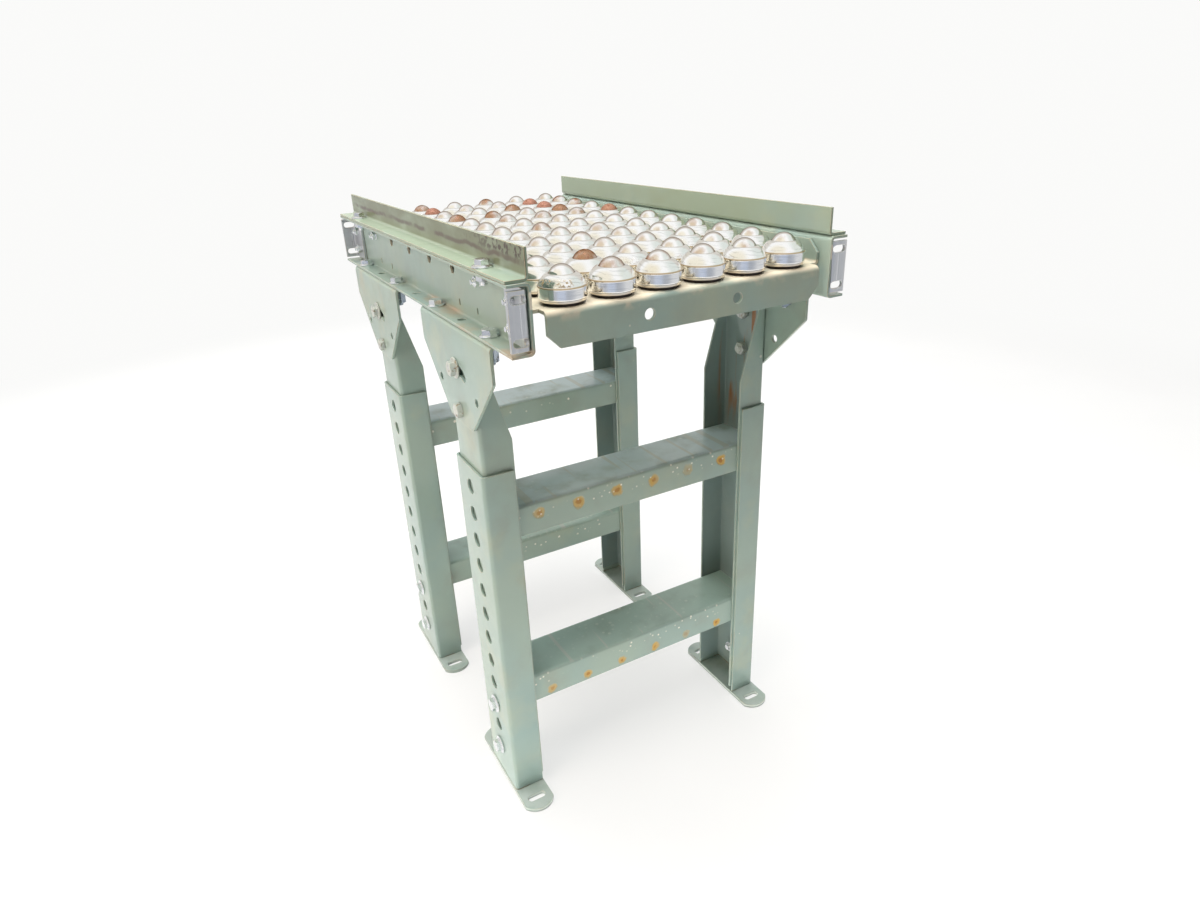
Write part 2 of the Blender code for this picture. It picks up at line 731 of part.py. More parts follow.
def build_bolt(name, y, z, sign, washer, carrier):
    """A hex bolt across the bracket and the upright's web, its nut inside, with or without a washer."""
    face = bracket_outer + SEAT_GAP
    nut_face = upright_outer - LEG_GAUGE - SEAT_GAP
    head_start = face + (WASHER_THICKNESS if washer else 0)
    head_end = head_start + HEX_HEAD_HEIGHT
    shank_end = nut_face - NUT_HEIGHT - BOLT_DIAMETER / 3
    hex_corners = HEX_FLATS / math.cos(math.pi / 6)

    shank = add_along(shank_end, head_end - HEX_HEAD_HEIGHT / 2, y, z, sign, BOLT_DIAMETER, BOLT_SIDES)
    mesh = bpy.data.meshes.new(name)
    shank.to_mesh(mesh)
    shank.free()
    bolt = part(name, mesh, ZINC)
    head = add_along(head_start, head_end, y, z, sign, hex_corners, 6)
    boolean(bolt, "UNION", helper(f"{name}_head", head))
    nut = add_along(nut_face - NUT_HEIGHT, nut_face, y, z, sign, hex_corners, 6)
    boolean(bolt, "UNION", helper(f"{name}_nut", nut))
    if washer:
        disc = add_along(face, head_start + WASHER_THICKNESS / 2, y, z, sign, WASHER_DIAMETER, BOLT_SIDES)
        boolean(bolt, "UNION", helper(f"{name}_washer", disc))
    seat(bolt, (0, y, pivot_z), carrier)


build_bed_plate()
build_balls()
for side_name, x_side in SIDES.items():
    build_rail(side_name, x_side)
    build_guard(side_name, x_side)
for end_name, y_end in ENDS.items():
    support_y = y_end * SUPPORT_SPACING / 2
    support = pivot(f"{end_name}_support", (0, support_y, pivot_z))
    build_brace(end_name, y_end, "upper", UPPER_BRACE_RISE, support)
    build_brace(end_name, y_end, "lower", LOWER_BRACE_RISE, support)
    for side_name, x_side in SIDES.items():
        build_coupling(end_name, y_end, side_name, x_side)
        build_bracket(end_name, y_end, side_name, x_side)
        build_upright(end_name, y_end, side_name, x_side, support)
        build_leg(end_name, y_end, side_name, x_side, support)
        corner_name = f"{end_name}_{side_name}"
        build_bolt(f"pivot_bolt_{corner_name}", support_y, pivot_z, x_side, False, support)
        lock_z = pivot_z + ARC_RADIUS
        build_bolt(f"lock_bolt_{corner_name}", support_y, lock_z, x_side, True, support)
        for level, clamp_z in zip(("lower", "upper"), clamp_heights):
            bolt_name = f"clamp_bolt_{corner_name}_{level}"
            build_clamp_bolt(bolt_name, support_y, clamp_z, x_side, support)
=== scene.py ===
"""Looks of a ball transfer table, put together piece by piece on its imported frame."""
import math

import bmesh
import bpy
import numpy as np
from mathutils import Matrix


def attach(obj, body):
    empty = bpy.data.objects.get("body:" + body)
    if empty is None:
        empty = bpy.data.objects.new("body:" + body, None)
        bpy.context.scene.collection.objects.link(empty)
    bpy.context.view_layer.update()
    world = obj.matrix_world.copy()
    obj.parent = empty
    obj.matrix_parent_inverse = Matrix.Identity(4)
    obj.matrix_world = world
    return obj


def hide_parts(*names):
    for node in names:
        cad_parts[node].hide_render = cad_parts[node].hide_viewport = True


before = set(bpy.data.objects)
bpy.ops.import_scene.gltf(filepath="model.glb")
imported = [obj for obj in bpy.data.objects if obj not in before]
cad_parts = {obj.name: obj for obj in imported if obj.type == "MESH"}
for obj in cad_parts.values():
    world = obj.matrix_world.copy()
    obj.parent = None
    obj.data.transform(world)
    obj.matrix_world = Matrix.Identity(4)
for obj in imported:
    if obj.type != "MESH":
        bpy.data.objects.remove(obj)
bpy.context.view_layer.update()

# Studio
# A plain pale floor that runs out to a pale backdrop, soft lamps overhead, at
# the back, on the left and low in front, and the camera at the photograph's angle.


def made_piece(name, points, faces):
    """A mesh object at the origin, from an array of points and a list of faces."""
    mesh = bpy.data.meshes.new(name)
    mesh.from_pydata(points.reshape(-1, 3).tolist(), [], faces)
    piece = bpy.data.objects.new(name, mesh)
    bpy.context.scene.collection.objects.link(piece)
    return piece


class Nodes:
    """Shader nodes made one step at a time. They read the place on the piece."""

    def __init__(self, tree, coordinate):
        self.tree = tree
        self.place = self.node("TexCoord").outputs[coordinate]
        self.split = None

    def node(self, kind, inputs=None, **settings):
        """A new shader node of a kind, with its settings and with what its inputs are fed."""
        made = self.tree.nodes.new("ShaderNode" + kind)
        for key, value in settings.items():
            setattr(made, key, value)
        for key, value in (inputs or {}).items():
            self.feed(made.inputs[key], value)
        return made

    def feed(self, socket, value):
        """Links a socket to another, or sets it to a constant."""
        if isinstance(value, bpy.types.NodeSocket):
            self.tree.links.new(value, socket)
        else:
            socket.default_value = value

    def sum(self, operation, *values):
        """One arithmetic step on sockets or numbers."""
        return self.node("Math", dict(enumerate(values)), operation=operation).outputs[0]

    def step(self, value, low, high):
        """0 below low, 1 above high, smooth between; the other way round if low is the higher."""
        ends = (high, low, 1.0, 0.0) if low > high else (low, high, 0.0, 1.0)
        inputs = dict(enumerate((value, *ends)))
        return self.node("MapRange", inputs, interpolation_type="SMOOTHSTEP").outputs[0]

    def band(self, value, middle, half, soft):
        """1 within half of the middle, falling to 0 over the soft width on both sides."""
        off = self.sum("ABSOLUTE", self.sum("SUBTRACT", value, middle))
        return self.step(off, half + soft, half)

    def along(self, axis):
        """One coordinate of the place on the piece."""
        if self.split is None:
            self.split = self.node("SeparateXYZ", {0: self.place})
        return self.split.outputs[axis]

    def aside(self, axis):
        """How far the place lies from the middle along an axis, on either side."""
        return self.sum("ABSOLUTE", self.along(axis))

    def toward(self, way):
        """The cosine of the angle between a way and the place, both seen from the origin."""
        unit = self.node("VectorMath", {0: self.place}, operation="NORMALIZE").outputs[0]
        inputs = {0: unit, 1: np.array(way) / np.linalg.norm(way)}
        return self.node("VectorMath", inputs, operation="DOT_PRODUCT").outputs["Value"]

    def mapped(self, stretch, shift):
        """The place, stretched and shifted."""
        inputs = {"Vector": self.place, "Scale": stretch, "Location": (shift, shift * 1.7, shift * 2.3)}
        return self.node("Mapping", inputs).outputs[0]

    def noise(self, scale, detail=3.0, stretch=(1, 1, 1), shift=0.0):
        """Cloudy noise, about 0.5, with features of one over scale metres."""
        inputs = {"Vector": self.mapped(stretch, shift), "Scale": scale, "Detail": detail}
        return self.node("TexNoise", inputs).outputs["Fac"]

    def clouds(self, low, high, *pattern, **more):
        """Patches of cloudy noise: 0 where it is below low and 1 where it is above high."""
        return self.step(self.noise(*pattern, **more), low, high)

    def specks(self, scale, share, size, shift=0.0, stretch=(1, 1, 1)):
        """Scattered dots: round a share of the cell centres, of a size in cell widths."""
        cells = self.node("TexVoronoi", {"Vector": self.mapped(stretch, shift), "Scale": scale})
        draw = self.node("SeparateColor", {0: cells.outputs["Color"]})
        reach = self.sum("MULTIPLY", draw.outputs[1], size)
        near = self.step(self.sum("SUBTRACT", cells.outputs["Distance"], reach), 0.0, -0.3 * size)
        return self.sum("MULTIPLY", near, self.sum("LESS_THAN", draw.outputs[0], share))

    def times(self, *masks):
        """Masks multiplied together."""
        made = masks[0]
        for mask in masks[1:]:
            made = self.sum("MULTIPLY", made, mask)
        return made

    def blended(self, base, *coats):
        """A colour under others, each laid where its mask is 1."""
        for colour, mask in coats:
            inputs = {0: mask, 6: base, 7: (*colour, 1.0)}
            base = self.node("Mix", inputs, data_type="RGBA").outputs[2]
        return base

    def rays(self):
        """1 for rays from the camera, a mirror or glass, and 1 for those from a mirror alone."""
        path = self.node("LightPath")
        mirrored = path.outputs["Is Glossy Ray"]
        seen = self.sum("MAXIMUM", path.outputs["Is Camera Ray"], mirrored)
        return self.sum("MAXIMUM", seen, path.outputs["Is Transmission Ray"]), mirrored


class Finish(Nodes):
    """A material laid up in coats: each coat is a mask with its own colour and gloss."""

    def __init__(self, name, colour, roughness, metallic=0.0):
        self.material = bpy.data.materials.new(name)
        self.material.use_nodes = True
        super().__init__(self.material.node_tree, "Object")
        self.shader = self.tree.nodes["Principled BSDF"]
        self.colour = (*colour, 1.0)
        self.levels = {"Roughness": roughness, "Metallic": metallic}

    def lay(self, mask, colour=None, roughness=None, metallic=None):
        """Lays a coat where the mask is 1. Several masks in a tuple are multiplied together."""
        if isinstance(mask, tuple):
            mask = self.times(*mask)
        if colour is not None:
            self.colour = self.blended(self.colour, (colour, mask))
        for name, value in (("Roughness", roughness), ("Metallic", metallic)):
            if value is not None:
                inputs = {0: mask, 2: self.levels[name], 3: value}
                self.levels[name] = self.node("Mix", inputs, data_type="FLOAT").outputs[0]

    def relief(self, height, depth):
        """Raises the surface by a height times a depth in metres."""
        normal = self.shader.inputs["Normal"]
        inputs = {"Strength": 1.0, "Distance": depth, "Height": height}
        if normal.is_linked:
            inputs["Normal"] = normal.links[0].from_socket
        self.feed(normal, self.node("Bump", inputs).outputs[0])

    def done(self):
        """The finished material."""
        self.feed(self.shader.inputs["Base Color"], self.colour)
        for name, value in self.levels.items():
            self.feed(self.shader.inputs[name], value)
        return self.material


FLOOR_REACH = 30.0
FLOOR_NEAR, FLOOR_FAR = 0.9, 2.6
PALE = (0.96, 0.96, 0.95)
FLOOR_LIFT = 0.68
ROOM_NEAR, ROOM_FAR = 1.2, 1.7
SKY_FILL = 0.02
VIEW_WAY = (0.525, 0.851, 0.0)
TO_ROOM = (-0.52, -0.85, 0.0)
ROOM_WHITE = (1.0, 1.0, 1.0)
ROOM_FLOOR = (0.66, 0.67, 0.69)
ROOM_GREY = (0.36, 0.39, 0.45)
ROOM_BLUE = (0.47, 0.53, 0.66)
ROOM_CREAM = (0.92, 0.87, 0.74)
ROOM_GREEN = (0.76, 0.81, 0.78)
ROOM_TAUPE = (0.70, 0.67, 0.62)

corners = FLOOR_REACH * np.array([(-1, -1, 0), (1, -1, 0), (1, 1, 0), (-1, 1, 0)])
floor = made_piece("floor", corners, [(0, 1, 2, 3)])
paving = Finish("floor_white", (0.82, 0.82, 0.81), 0.7)
paving.lay(paving.clouds(0.4, 0.6, 3.0, 2.0), (0.84, 0.84, 0.83))
# To light that bounces, the floor is dark beyond the table. The camera and mirrors see it pale.
radius = paving.node("VectorMath", {0: paving.place}, operation="LENGTH").outputs["Value"]
seen, mirrored = paving.rays()
falling = paving.sum("SUBTRACT", 1.0, seen)
paving.lay((falling, paving.step(radius, FLOOR_NEAR, 1.8 * FLOOR_NEAR)), (0.1, 0.1, 0.1))
paving.done()
facing = paving.toward(TO_ROOM)
room = paving.times(mirrored, paving.step(radius, ROOM_NEAR, ROOM_FAR))
white = paving.node("Emission", {"Color": paving.blended(
    (*PALE, 1.0),
    (ROOM_FLOOR, room),
    (ROOM_GREY, paving.times(room, paving.step(facing, 0.3, 0.9))),
    (ROOM_BLUE, paving.times(room, paving.step(facing, 0.9, 0.995))))})
lift = paving.sum("MAXIMUM", FLOOR_LIFT, paving.step(radius, FLOOR_NEAR, FLOOR_FAR))
blend = paving.node("MixShader", {
    0: paving.times(lift, seen), 1: paving.shader.outputs[0], 2: white.outputs[0]})
paving.feed(paving.tree.nodes["Material Output"].inputs["Surface"], blend.outputs[0])
floor.data.materials.append(paving.material)

studio = bpy.data.worlds.new("studio")
bpy.context.scene.world = studio
studio.use_nodes = True
air = Nodes(studio.node_tree, "Generated")
seen, mirrored = air.rays()
backdrop = air.tree.nodes["Background"]
air.feed(backdrop.inputs["Color"], air.blended(
    (*PALE, 1.0),
    (ROOM_WHITE, mirrored),
    (ROOM_CREAM, air.times(mirrored, air.step(air.toward((-1.0, -0.2, 0.5)), 0.5, 0.9))),
    (ROOM_GREEN, air.times(mirrored, air.step(air.toward((1.0, -0.3, 0.4)), 0.5, 0.9))),
    (ROOM_TAUPE, air.times(mirrored, air.step(air.toward(VIEW_WAY), 0.42, 0.62)))))
strength = air.node("MapRange", {0: seen, 3: SKY_FILL, 4: 1.0}).outputs[0]
air.feed(backdrop.inputs["Strength"], strength)

TABLE_MIDDLE = (0.0, 0.0, 0.4)
# Each lamp has a place, a point it faces, a size, a power in watts and a tint.
LAMPS = {
    "top_lamp": ((-0.1, -0.1, 3.2), TABLE_MIDDLE, (2.4, 2.4), 178.0, (1.0, 1.0, 1.0)),
    "left_lamp": ((-2.5, -0.5, 1.5), TABLE_MIDDLE, (2.0, 2.0), 56.0, (1.0, 0.84, 0.73)),
    "back_lamp": ((0.0, 3.0, 1.3), TABLE_MIDDLE, (6.0, 2.6), 118.0, (1.0, 1.0, 1.0)),
    "floor_lamp": ((-0.1, -0.44, 0.002), (-0.1, -0.44, 1.0), (0.66, 0.66), 2.3, (1.0, 0.96, 0.91)),
}
for name, (place, aim, size, power, tint) in LAMPS.items():
    light = bpy.data.lights.new(name, "AREA")
    light.shape = "RECTANGLE"
    light.size, light.size_y = size
    light.energy = power
    light.color = tint
    lamp = bpy.data.objects.new(name, light)
    lamp.visible_camera = lamp.visible_glossy = False
    lamp.location = place
    way = np.subtract(aim, place)
    tip = math.atan2(math.hypot(way[0], way[1]), -way[2])
    lamp.rotation_euler = (tip, 0.0, math.atan2(way[1], way[0]) - math.pi / 2)
    bpy.context.scene.collection.objects.link(lamp)

FOCAL_LENGTH, SENSOR_WIDTH = 23.1908, 36.0
CAMERA_PLACE = (-0.42836, -0.89288, 0.80165)
CAMERA_TURN = (65.97184, 2.25630, -29.44227)
lens = bpy.data.cameras.new("camera")
lens.lens = FOCAL_LENGTH
lens.sensor_width = SENSOR_WIDTH
camera = bpy.data.objects.new("camera", lens)
camera.location = CAMERA_PLACE
camera.rotation_euler = np.radians(CAMERA_TURN)
bpy.context.scene.collection.objects.link(camera)
bpy.context.scene.camera = camera
bpy.context.scene.view_settings.view_transform = "Standard"

# Bed plate
# A steel sheet folded down at its two ends and up along its sides, sprayed
# grey-green. Tan dust lies on it round the ball units.
BED_GAUGE, BED_TOP = 0.0034, 0.643
BED_HALF, BED_END, BED_END_LOW = 0.1558, 0.3035, 0.609
BED_SIDE, BED_SIDE_END, BED_SIDE_TOP = 0.168, 0.289, 0.666
BED_HOLE_X, BED_HOLE_Z, BED_HOLE = 0.0508, 0.625, 0.0111
BED_CLIP, CLIP_CLEAR = 0.0125, 0.01
END_CUT, SIDE_CUT = 0.02, (0.16, 0.175)
INSIDE_BEND = 0.0022
MERGE, EDGE_WIDTH = 2e-6, 0.00035
SHARP_ANGLE, EDGE_ANGLE = math.radians(35), math.radians(40)
ENDS = {"front": -1, "rear": 1}
SIDES = {"left": -1, "right": 1}


def bent(corners, radius, steps=8):
    """A line through the corners, each inner one an arc of the radius that touches both its sides."""
    corners = np.array(corners, float)
    line = [corners[:1]]
    for before, at, after in zip(corners, corners[1:], corners[2:]):
        back, on = (v / np.linalg.norm(v) for v in (before - at, after - at))
        half = math.acos(np.clip(back @ on, -1, 1)) / 2
        middle = at + (back + on) / np.linalg.norm(back + on) * radius / math.sin(half)
        first, last = (at + v * radius / math.tan(half) - middle for v in (back, on))
        swing = math.pi - 2 * half
        t = np.linspace(0, 1, steps + 1)[:, None]
        arc = (np.sin((1 - t) * swing) * first + np.sin(t * swing) * last) / math.sin(swing)
        line.append(middle + arc)
    line.append(corners[-1:])
    return np.vstack(line)


def sheet_outline(corners, gauge):
    """Cross-section of a folded sheet: the bent outer line, and back along a line moved in by the gauge."""
    corners = np.array(corners, float)
    ways = np.diff(corners, axis=0)
    ways /= np.linalg.norm(ways, axis=1)[:, None]
    turn = np.sign(ways[0, 0] * ways[1, 1] - ways[0, 1] * ways[1, 0])
    inward = turn * np.stack((-ways[:, 1], ways[:, 0]), axis=1) * gauge
    shift = np.vstack((inward[:1], inward[:-1] + inward[1:], inward[-1:]))
    return np.vstack((bent(corners, gauge + INSIDE_BEND), bent(corners + shift, INSIDE_BEND)[::-1]))


def tube(bands, sides):
    """Faces of a tube of stacked rings of points, closed at both ends by a flat face."""
    first = np.arange(sides)
    here = np.arange(bands)[:, None] * sides + first
    on = np.arange(bands)[:, None] * sides + (first + 1) % sides
    quads = np.stack((here, on, on + sides, here + sides), axis=-1).reshape(-1, 4)
    return [*quads.tolist(), first[::-1].tolist(), (first + bands * sides).tolist()]


def carried(outline, start, end, axis):
    """A closed outline carried straight along an axis, with both ends closed."""
    count = len(outline)
    run = np.repeat((start, end), count)
    order = {"X": (2, 0, 1), "Y": (0, 2, 1), "Z": (0, 1, 2)}[axis]
    return np.column_stack((np.tile(outline, (2, 1)), run))[:, order], tube(1, count)


def joined(*shapes):
    """Several shapes as one: their points stacked, and their faces renumbered."""
    points, faces, known = [], [], 0
    for shape_points, shape_faces in shapes:
        points.append(shape_points)
        faces += [[number + known for number in face] for face in shape_faces]
        known += len(shape_points)
    return np.vstack(points), faces


def outward(piece):
    """Merges a piece's doubled points and turns its faces outwards."""
    shell = bmesh.new()
    shell.from_mesh(piece.data)
    bmesh.ops.remove_doubles(shell, verts=shell.verts[:], dist=MERGE)
    bmesh.ops.recalc_face_normals(shell, faces=shell.faces[:])
    shell.to_mesh(piece.data)
    shell.free()
    return piece


def folded(name, corners, gauge, start, end, axis):
    """A folded sheet: its cross-section carried along an axis, as a piece with its faces outwards."""
    return outward(made_piece(name, *carried(sheet_outline(corners, gauge), start, end, axis)))


def worked(piece, operation, *tools):
    """Cuts a piece by closed shapes, joins it to them or trims it to them, with an exact Boolean."""
    tool = outward(made_piece("tool", *joined(*tools)))
    change = piece.modifiers.new("tool", "BOOLEAN")
    change.operation = operation
    change.solver = "EXACT"
    change.object = tool
    bpy.context.view_layer.update()
    graph = bpy.context.evaluated_depsgraph_get()
    spent = (piece.data, tool.data)
    piece.data = bpy.data.meshes.new_from_object(piece.evaluated_get(graph))
    piece.modifiers.clear()
    bpy.data.objects.remove(tool)
    for mesh in spent:
        bpy.data.meshes.remove(mesh)
    piece.data.name = piece.name
    outward(piece)


def angles(sides):
    """Angles spread evenly round a circle."""
    return np.linspace(0, 2 * math.pi, sides, endpoint=False)


def round_hole(across, up, diameter, sides=32):
    """Outline of a round hole."""
    angle = angles(sides)
    return np.column_stack((across + diameter / 2 * np.cos(angle), up + diameter / 2 * np.sin(angle)))


def eased(piece, finish, edge_finish, width=EDGE_WIDTH):
    """Gives a piece its finish, and small rounded edges that have their own."""
    piece.data.materials.append(finish)
    piece.data.materials.append(edge_finish)
    piece.data.shade_smooth()
    piece.data.set_sharp_from_angle(angle=SHARP_ANGLE)
    edge = piece.modifiers.new("edge", "BEVEL")
    edge.width = width
    edge.segments = 2
    edge.limit_method = "ANGLE"
    edge.angle_limit = EDGE_ANGLE
    edge.use_clamp_overlap = False
    edge.harden_normals = True
    edge.material = 1


ENAMEL = (0.285, 0.372, 0.317)
ENAMEL_COOL = (0.265, 0.363, 0.327)
ENAMEL_WARM = (0.325, 0.385, 0.303)
DUST = (0.60, 0.53, 0.40)
RUST = (0.30, 0.135, 0.05)
BARE = (0.42, 0.36, 0.28)


def enamel(name, smudge=0.35, chips=0.05):
    """Sprayed grey-green enamel: clouded colour, smudges of dirt, pale chips, scratches and orange peel."""
    paint = Finish(name, ENAMEL, 0.42)
    paint.levels |= {"Specular IOR Level": 0.2, "Coat Weight": 0.7, "Coat Roughness": 0.1}
    paint.lay(paint.clouds(0.42, 0.62, 7, 2), ENAMEL_COOL)
    paint.lay(paint.clouds(0.5, 0.72, 16, 4, shift=3.1), ENAMEL_WARM)
    paint.lay((paint.clouds(0.5, 0.8, 22, 6, shift=7.7), smudge), (0.24, 0.23, 0.17), 0.55)
    paint.lay(paint.clouds(0.35, 0.75, 60, 4, shift=1.3), None, 0.5)
    dots = paint.specks(55, chips, 0.16, 5.2)
    paint.lay(dots, (0.52, 0.53, 0.47), 0.5)
    paint.lay(paint.specks(28, chips, 0.12, 2.4, (1, 1, 0.35)), (0.45, 0.43, 0.34), 0.5)
    paint.relief(paint.noise(620, 2), 0.00006)
    paint.relief(paint.noise(45, 2, shift=9.0), 0.00012)
    paint.relief(dots, -0.0001)
    return paint


def worn_edge(name, amount=0.5):
    """A sheet's edge: enamel rubbed through to brown primer and dull steel in broken lengths."""
    edge = Finish(name, (0.36, 0.41, 0.345), 0.4)
    rubbed = edge.clouds(0.62 - 0.3 * amount, 0.7 - 0.2 * amount, 40, 5, shift=4.4)
    edge.lay(rubbed, (0.33, 0.285, 0.195), 0.55)
    edge.lay(edge.clouds(0.56, 0.66, 130, 3, shift=8.1), BARE, 0.4)
    edge.relief(edge.noise(900, 2), 0.00005)
    return edge.done()


paint = enamel("bed_enamel", 0.3)
level = paint.along("Z")
drift = paint.noise(30, 6, shift=6.6)
heaped = paint.sum("ADD", level, paint.times(drift, 0.008))
lying = paint.times(paint.step(heaped, BED_TOP - 0.001, BED_TOP + 0.004),
                    paint.step(level, BED_TOP + 0.0035, BED_TOP + 0.0015))
paint.lay((lying, paint.step(drift, 0.2, 0.5)), DUST, 0.85)
paint.relief(paint.times(lying, paint.noise(500, 4)), 0.0002)
flank = paint.step(level, BED_TOP - 0.002, BED_TOP - 0.004)
soiled = paint.clouds(0.25, 0.6, 14, 6, shift=4.2)
paint.lay((flank, soiled, 0.4), (0.34, 0.36, 0.26), 0.5)
below = paint.step(level, BED_TOP - 0.013, BED_TOP - 0.004)
paint.lay((flank, below, paint.clouds(0.52, 0.66, 45, 5, shift=8.8), 0.7), (0.56, 0.50, 0.38), 0.7)
# Painted shade: the side flange's outer face is near black where the rail covers it, so that the rail's holes
# look dark.
painted_shade_behind_rail = paint.step(paint.aside("X"), BED_SIDE - 0.0006, BED_SIDE - 0.0003)
paint.lay(painted_shade_behind_rail, (0.03, 0.033, 0.025), 0.8)
bed_finish = paint.done()
sheet_edge = worn_edge("sheet_edge")


def clipped(across, up, out, onto):
    """Outline of a cutter for a sheet's corner: out leads off its side, onto leads up or down the sheet."""
    near, far = across - out * BED_CLIP, across + out * CLIP_CLEAR
    edge, off = up + onto * BED_CLIP, up - onto * CLIP_CLEAR
    return np.array([(near, up), (across, edge), (far, edge), (far, off), (near, off)])


end_line = [(-BED_END, BED_END_LOW), (-BED_END, BED_TOP), (BED_END, BED_TOP), (BED_END, BED_END_LOW)]
low = BED_TOP - BED_GAUGE
side_line = [(-BED_SIDE, BED_SIDE_TOP), (-BED_SIDE, low), (BED_SIDE, low), (BED_SIDE, BED_SIDE_TOP)]
bed = folded("bed_sheet", end_line, BED_GAUGE, -BED_HALF, BED_HALF, "X")
worked(bed, "UNION", carried(sheet_outline(side_line, BED_GAUGE), -BED_SIDE_END, BED_SIDE_END, "Y"))
cuts = []
for end in ENDS.values():
    start, stop = sorted((end * (BED_END - END_CUT), end * (BED_END + END_CUT)))
    for side in SIDES.values():
        cuts.append(carried(round_hole(side * BED_HOLE_X, BED_HOLE_Z, BED_HOLE), start, stop, "Y"))
        cuts.append(carried(clipped(side * BED_HALF, BED_END_LOW, side, 1), start, stop, "Y"))
        near, far = sorted(side * x for x in SIDE_CUT)
        cuts.append(carried(clipped(end * BED_SIDE_END, BED_SIDE_TOP, end, -1), near, far, "X"))
worked(bed, "DIFFERENCE", *cuts)
eased(bed, bed_finish, sheet_edge)
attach(bed, "bed")
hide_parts("bed_plate")

# Ball units
# 72 bought ball transfer units: a pressed and zinc-plated cup rolled over its
# base ring, and a one-inch steel ball. The front three rows of balls turn.
PITCH = 0.0508
ROWS, COLUMNS, ROLLING_ROWS = 12, 6, 3
BALL_RADIUS, BALL_HEIGHT = 0.0127, 0.0216
BALL_SIDES, BALL_STEPS, CUP_SIDES = 36, 25, 48
CUP_LINE = 0.001 * np.array([
    (0, -0.3), (18.2, -0.3), (18.5, 0), (18.5, 2.2), (18.8, 2.6), (20.7, 2.7), (21.1, 2.95),
    (21.25, 3.6), (21.2, 4.5), (21.35, 4.9), (21.9, 5.3), (22.15, 5.9), (22.2, 6.6), (22.2, 14.4),
    (22.25, 15.0), (22.4, 15.5), (22.4, 15.9), (22.15, 16.3), (21.6, 16.5), (21.35, 16.9),
    (21.1, 17.8), (20.4, 19.8), (19.4, 21.5), (18.0, 23.3), (16.4, 24.9), (14.9, 26.0),
    (13.5, 26.6), (12.9, 26.7), (12.4, 26.65), (12.1, 26.4), (12.1, 26.1), (12.7, 24.4),
    (13.0, 21.6), (12.3, 17.4), (9.2, 12.4), (4.6, 9.4), (0, 8.6),
])
grid_x, grid_y = np.meshgrid(
    (np.arange(COLUMNS) - (COLUMNS - 1) / 2) * PITCH, (np.arange(ROWS) - (ROWS - 1) / 2) * PITCH)
centres = np.stack((grid_x.ravel(), grid_y.ravel()), axis=1)
chance = np.random.default_rng(72)


def turned(radii, heights, sides, centres, wave=0.0, phases=None):
    """A profile turned about the upright line through each centre: point = centre + radius (cos a, sin a).
    The radius swells by wave times two slow sines of the angle. End points on the line are one point each."""
    angle = angles(sides)
    radius = np.repeat(radii[None, 1:-1, None], len(centres), axis=0) * np.ones(sides)
    if phases is not None:
        swell = np.sin(2 * angle + phases[:, :1]) + 0.7 * np.sin(3 * angle + phases[:, 1:2])
        radius = radius + wave[None, 1:-1, None] * swell[:, None, :]
    height = heights[None, 1:-1, None] * np.ones_like(radius)
    x = centres[:, 0, None, None] + radius * np.cos(angle)
    y = centres[:, 1, None, None] + radius * np.sin(angle)
    rings = np.stack((x, y, height), axis=-1).reshape(len(centres), -1, 3)
    poles = [np.column_stack((centres, np.full(len(centres), heights[i])))[:, None] for i in (0, -1)]
    points = np.concatenate((poles[0], rings, poles[1]), axis=1)
    count = points.shape[1]
    bands = len(radii) - 3
    quads = 1 + np.array(tube(bands, sides)[:-2])
    base = 1 + np.arange(sides)
    low_fan = np.stack((np.zeros(sides, int), np.roll(base, -1), base), axis=1)
    top = base + bands * sides
    high_fan = np.stack((np.full(sides, count - 1), top, np.roll(top, -1)), axis=1)
    shift = np.arange(len(centres))[:, None, None] * count
    faces = [(part[None] + shift).reshape(-1, part.shape[1]).tolist() for part in (quads, low_fan, high_fan)]
    return points.reshape(-1, 3), faces[0] + faces[1] + faces[2]


def marked(piece, name, values):
    """A number for every point of the piece, for its finish to read."""
    mark = piece.data.attributes.new(name, "FLOAT", "POINT")
    mark.data.foreach_set("value", np.asarray(values, np.float32))


def mark_of(finish, name):
    """The socket of a marked number."""
    return finish.node("Attribute", attribute_name=name).outputs["Fac"]


ZINC = (0.95, 0.95, 0.94)
zinc = Finish("cup_zinc", ZINC, 0.17, 1.0)
height = zinc.along("Z")
dome = zinc.step(height, BED_TOP + 0.0165, BED_TOP + 0.018)
tint = zinc.noise(45, 4, shift=2.2)
zinc.lay((dome, zinc.step(tint, 0.5, 0.8), 0.4), (0.90, 0.83, 0.66))


def in_cell(finish, axis):
    """How far a place lies from the middle of its ball unit along an axis, in pitches."""
    cell = finish.sum("FRACT", finish.sum("DIVIDE", finish.along(axis), PITCH))
    return finish.sum("SUBTRACT", cell, 0.5)


east, north = in_cell(zinc, "X"), in_cell(zinc, "Y")
turn = zinc.sum("DIVIDE", zinc.sum("ARCTAN2", north, east), 2 * math.pi)
swirl = zinc.sum("ADD", zinc.sum("DIVIDE", height, 0.0034), zinc.times(turn, 4.0))
swirl = zinc.sum("ADD", swirl, zinc.times(zinc.noise(38, 3, shift=5.0), 3.0))
spun = zinc.band(zinc.sum("FRACT", swirl), 0.5, 0.06, 0.16)
faint = zinc.clouds(0.42, 0.6, 75, 3, shift=8.3)
zinc.lay((dome, spun, faint, 0.5), (0.66, 0.66, 0.65))
bead = zinc.band(height, BED_TOP + 0.0159, 0.0004, 0.0005)
zinc.lay(bead, (0.58, 0.45, 0.29), 0.3)
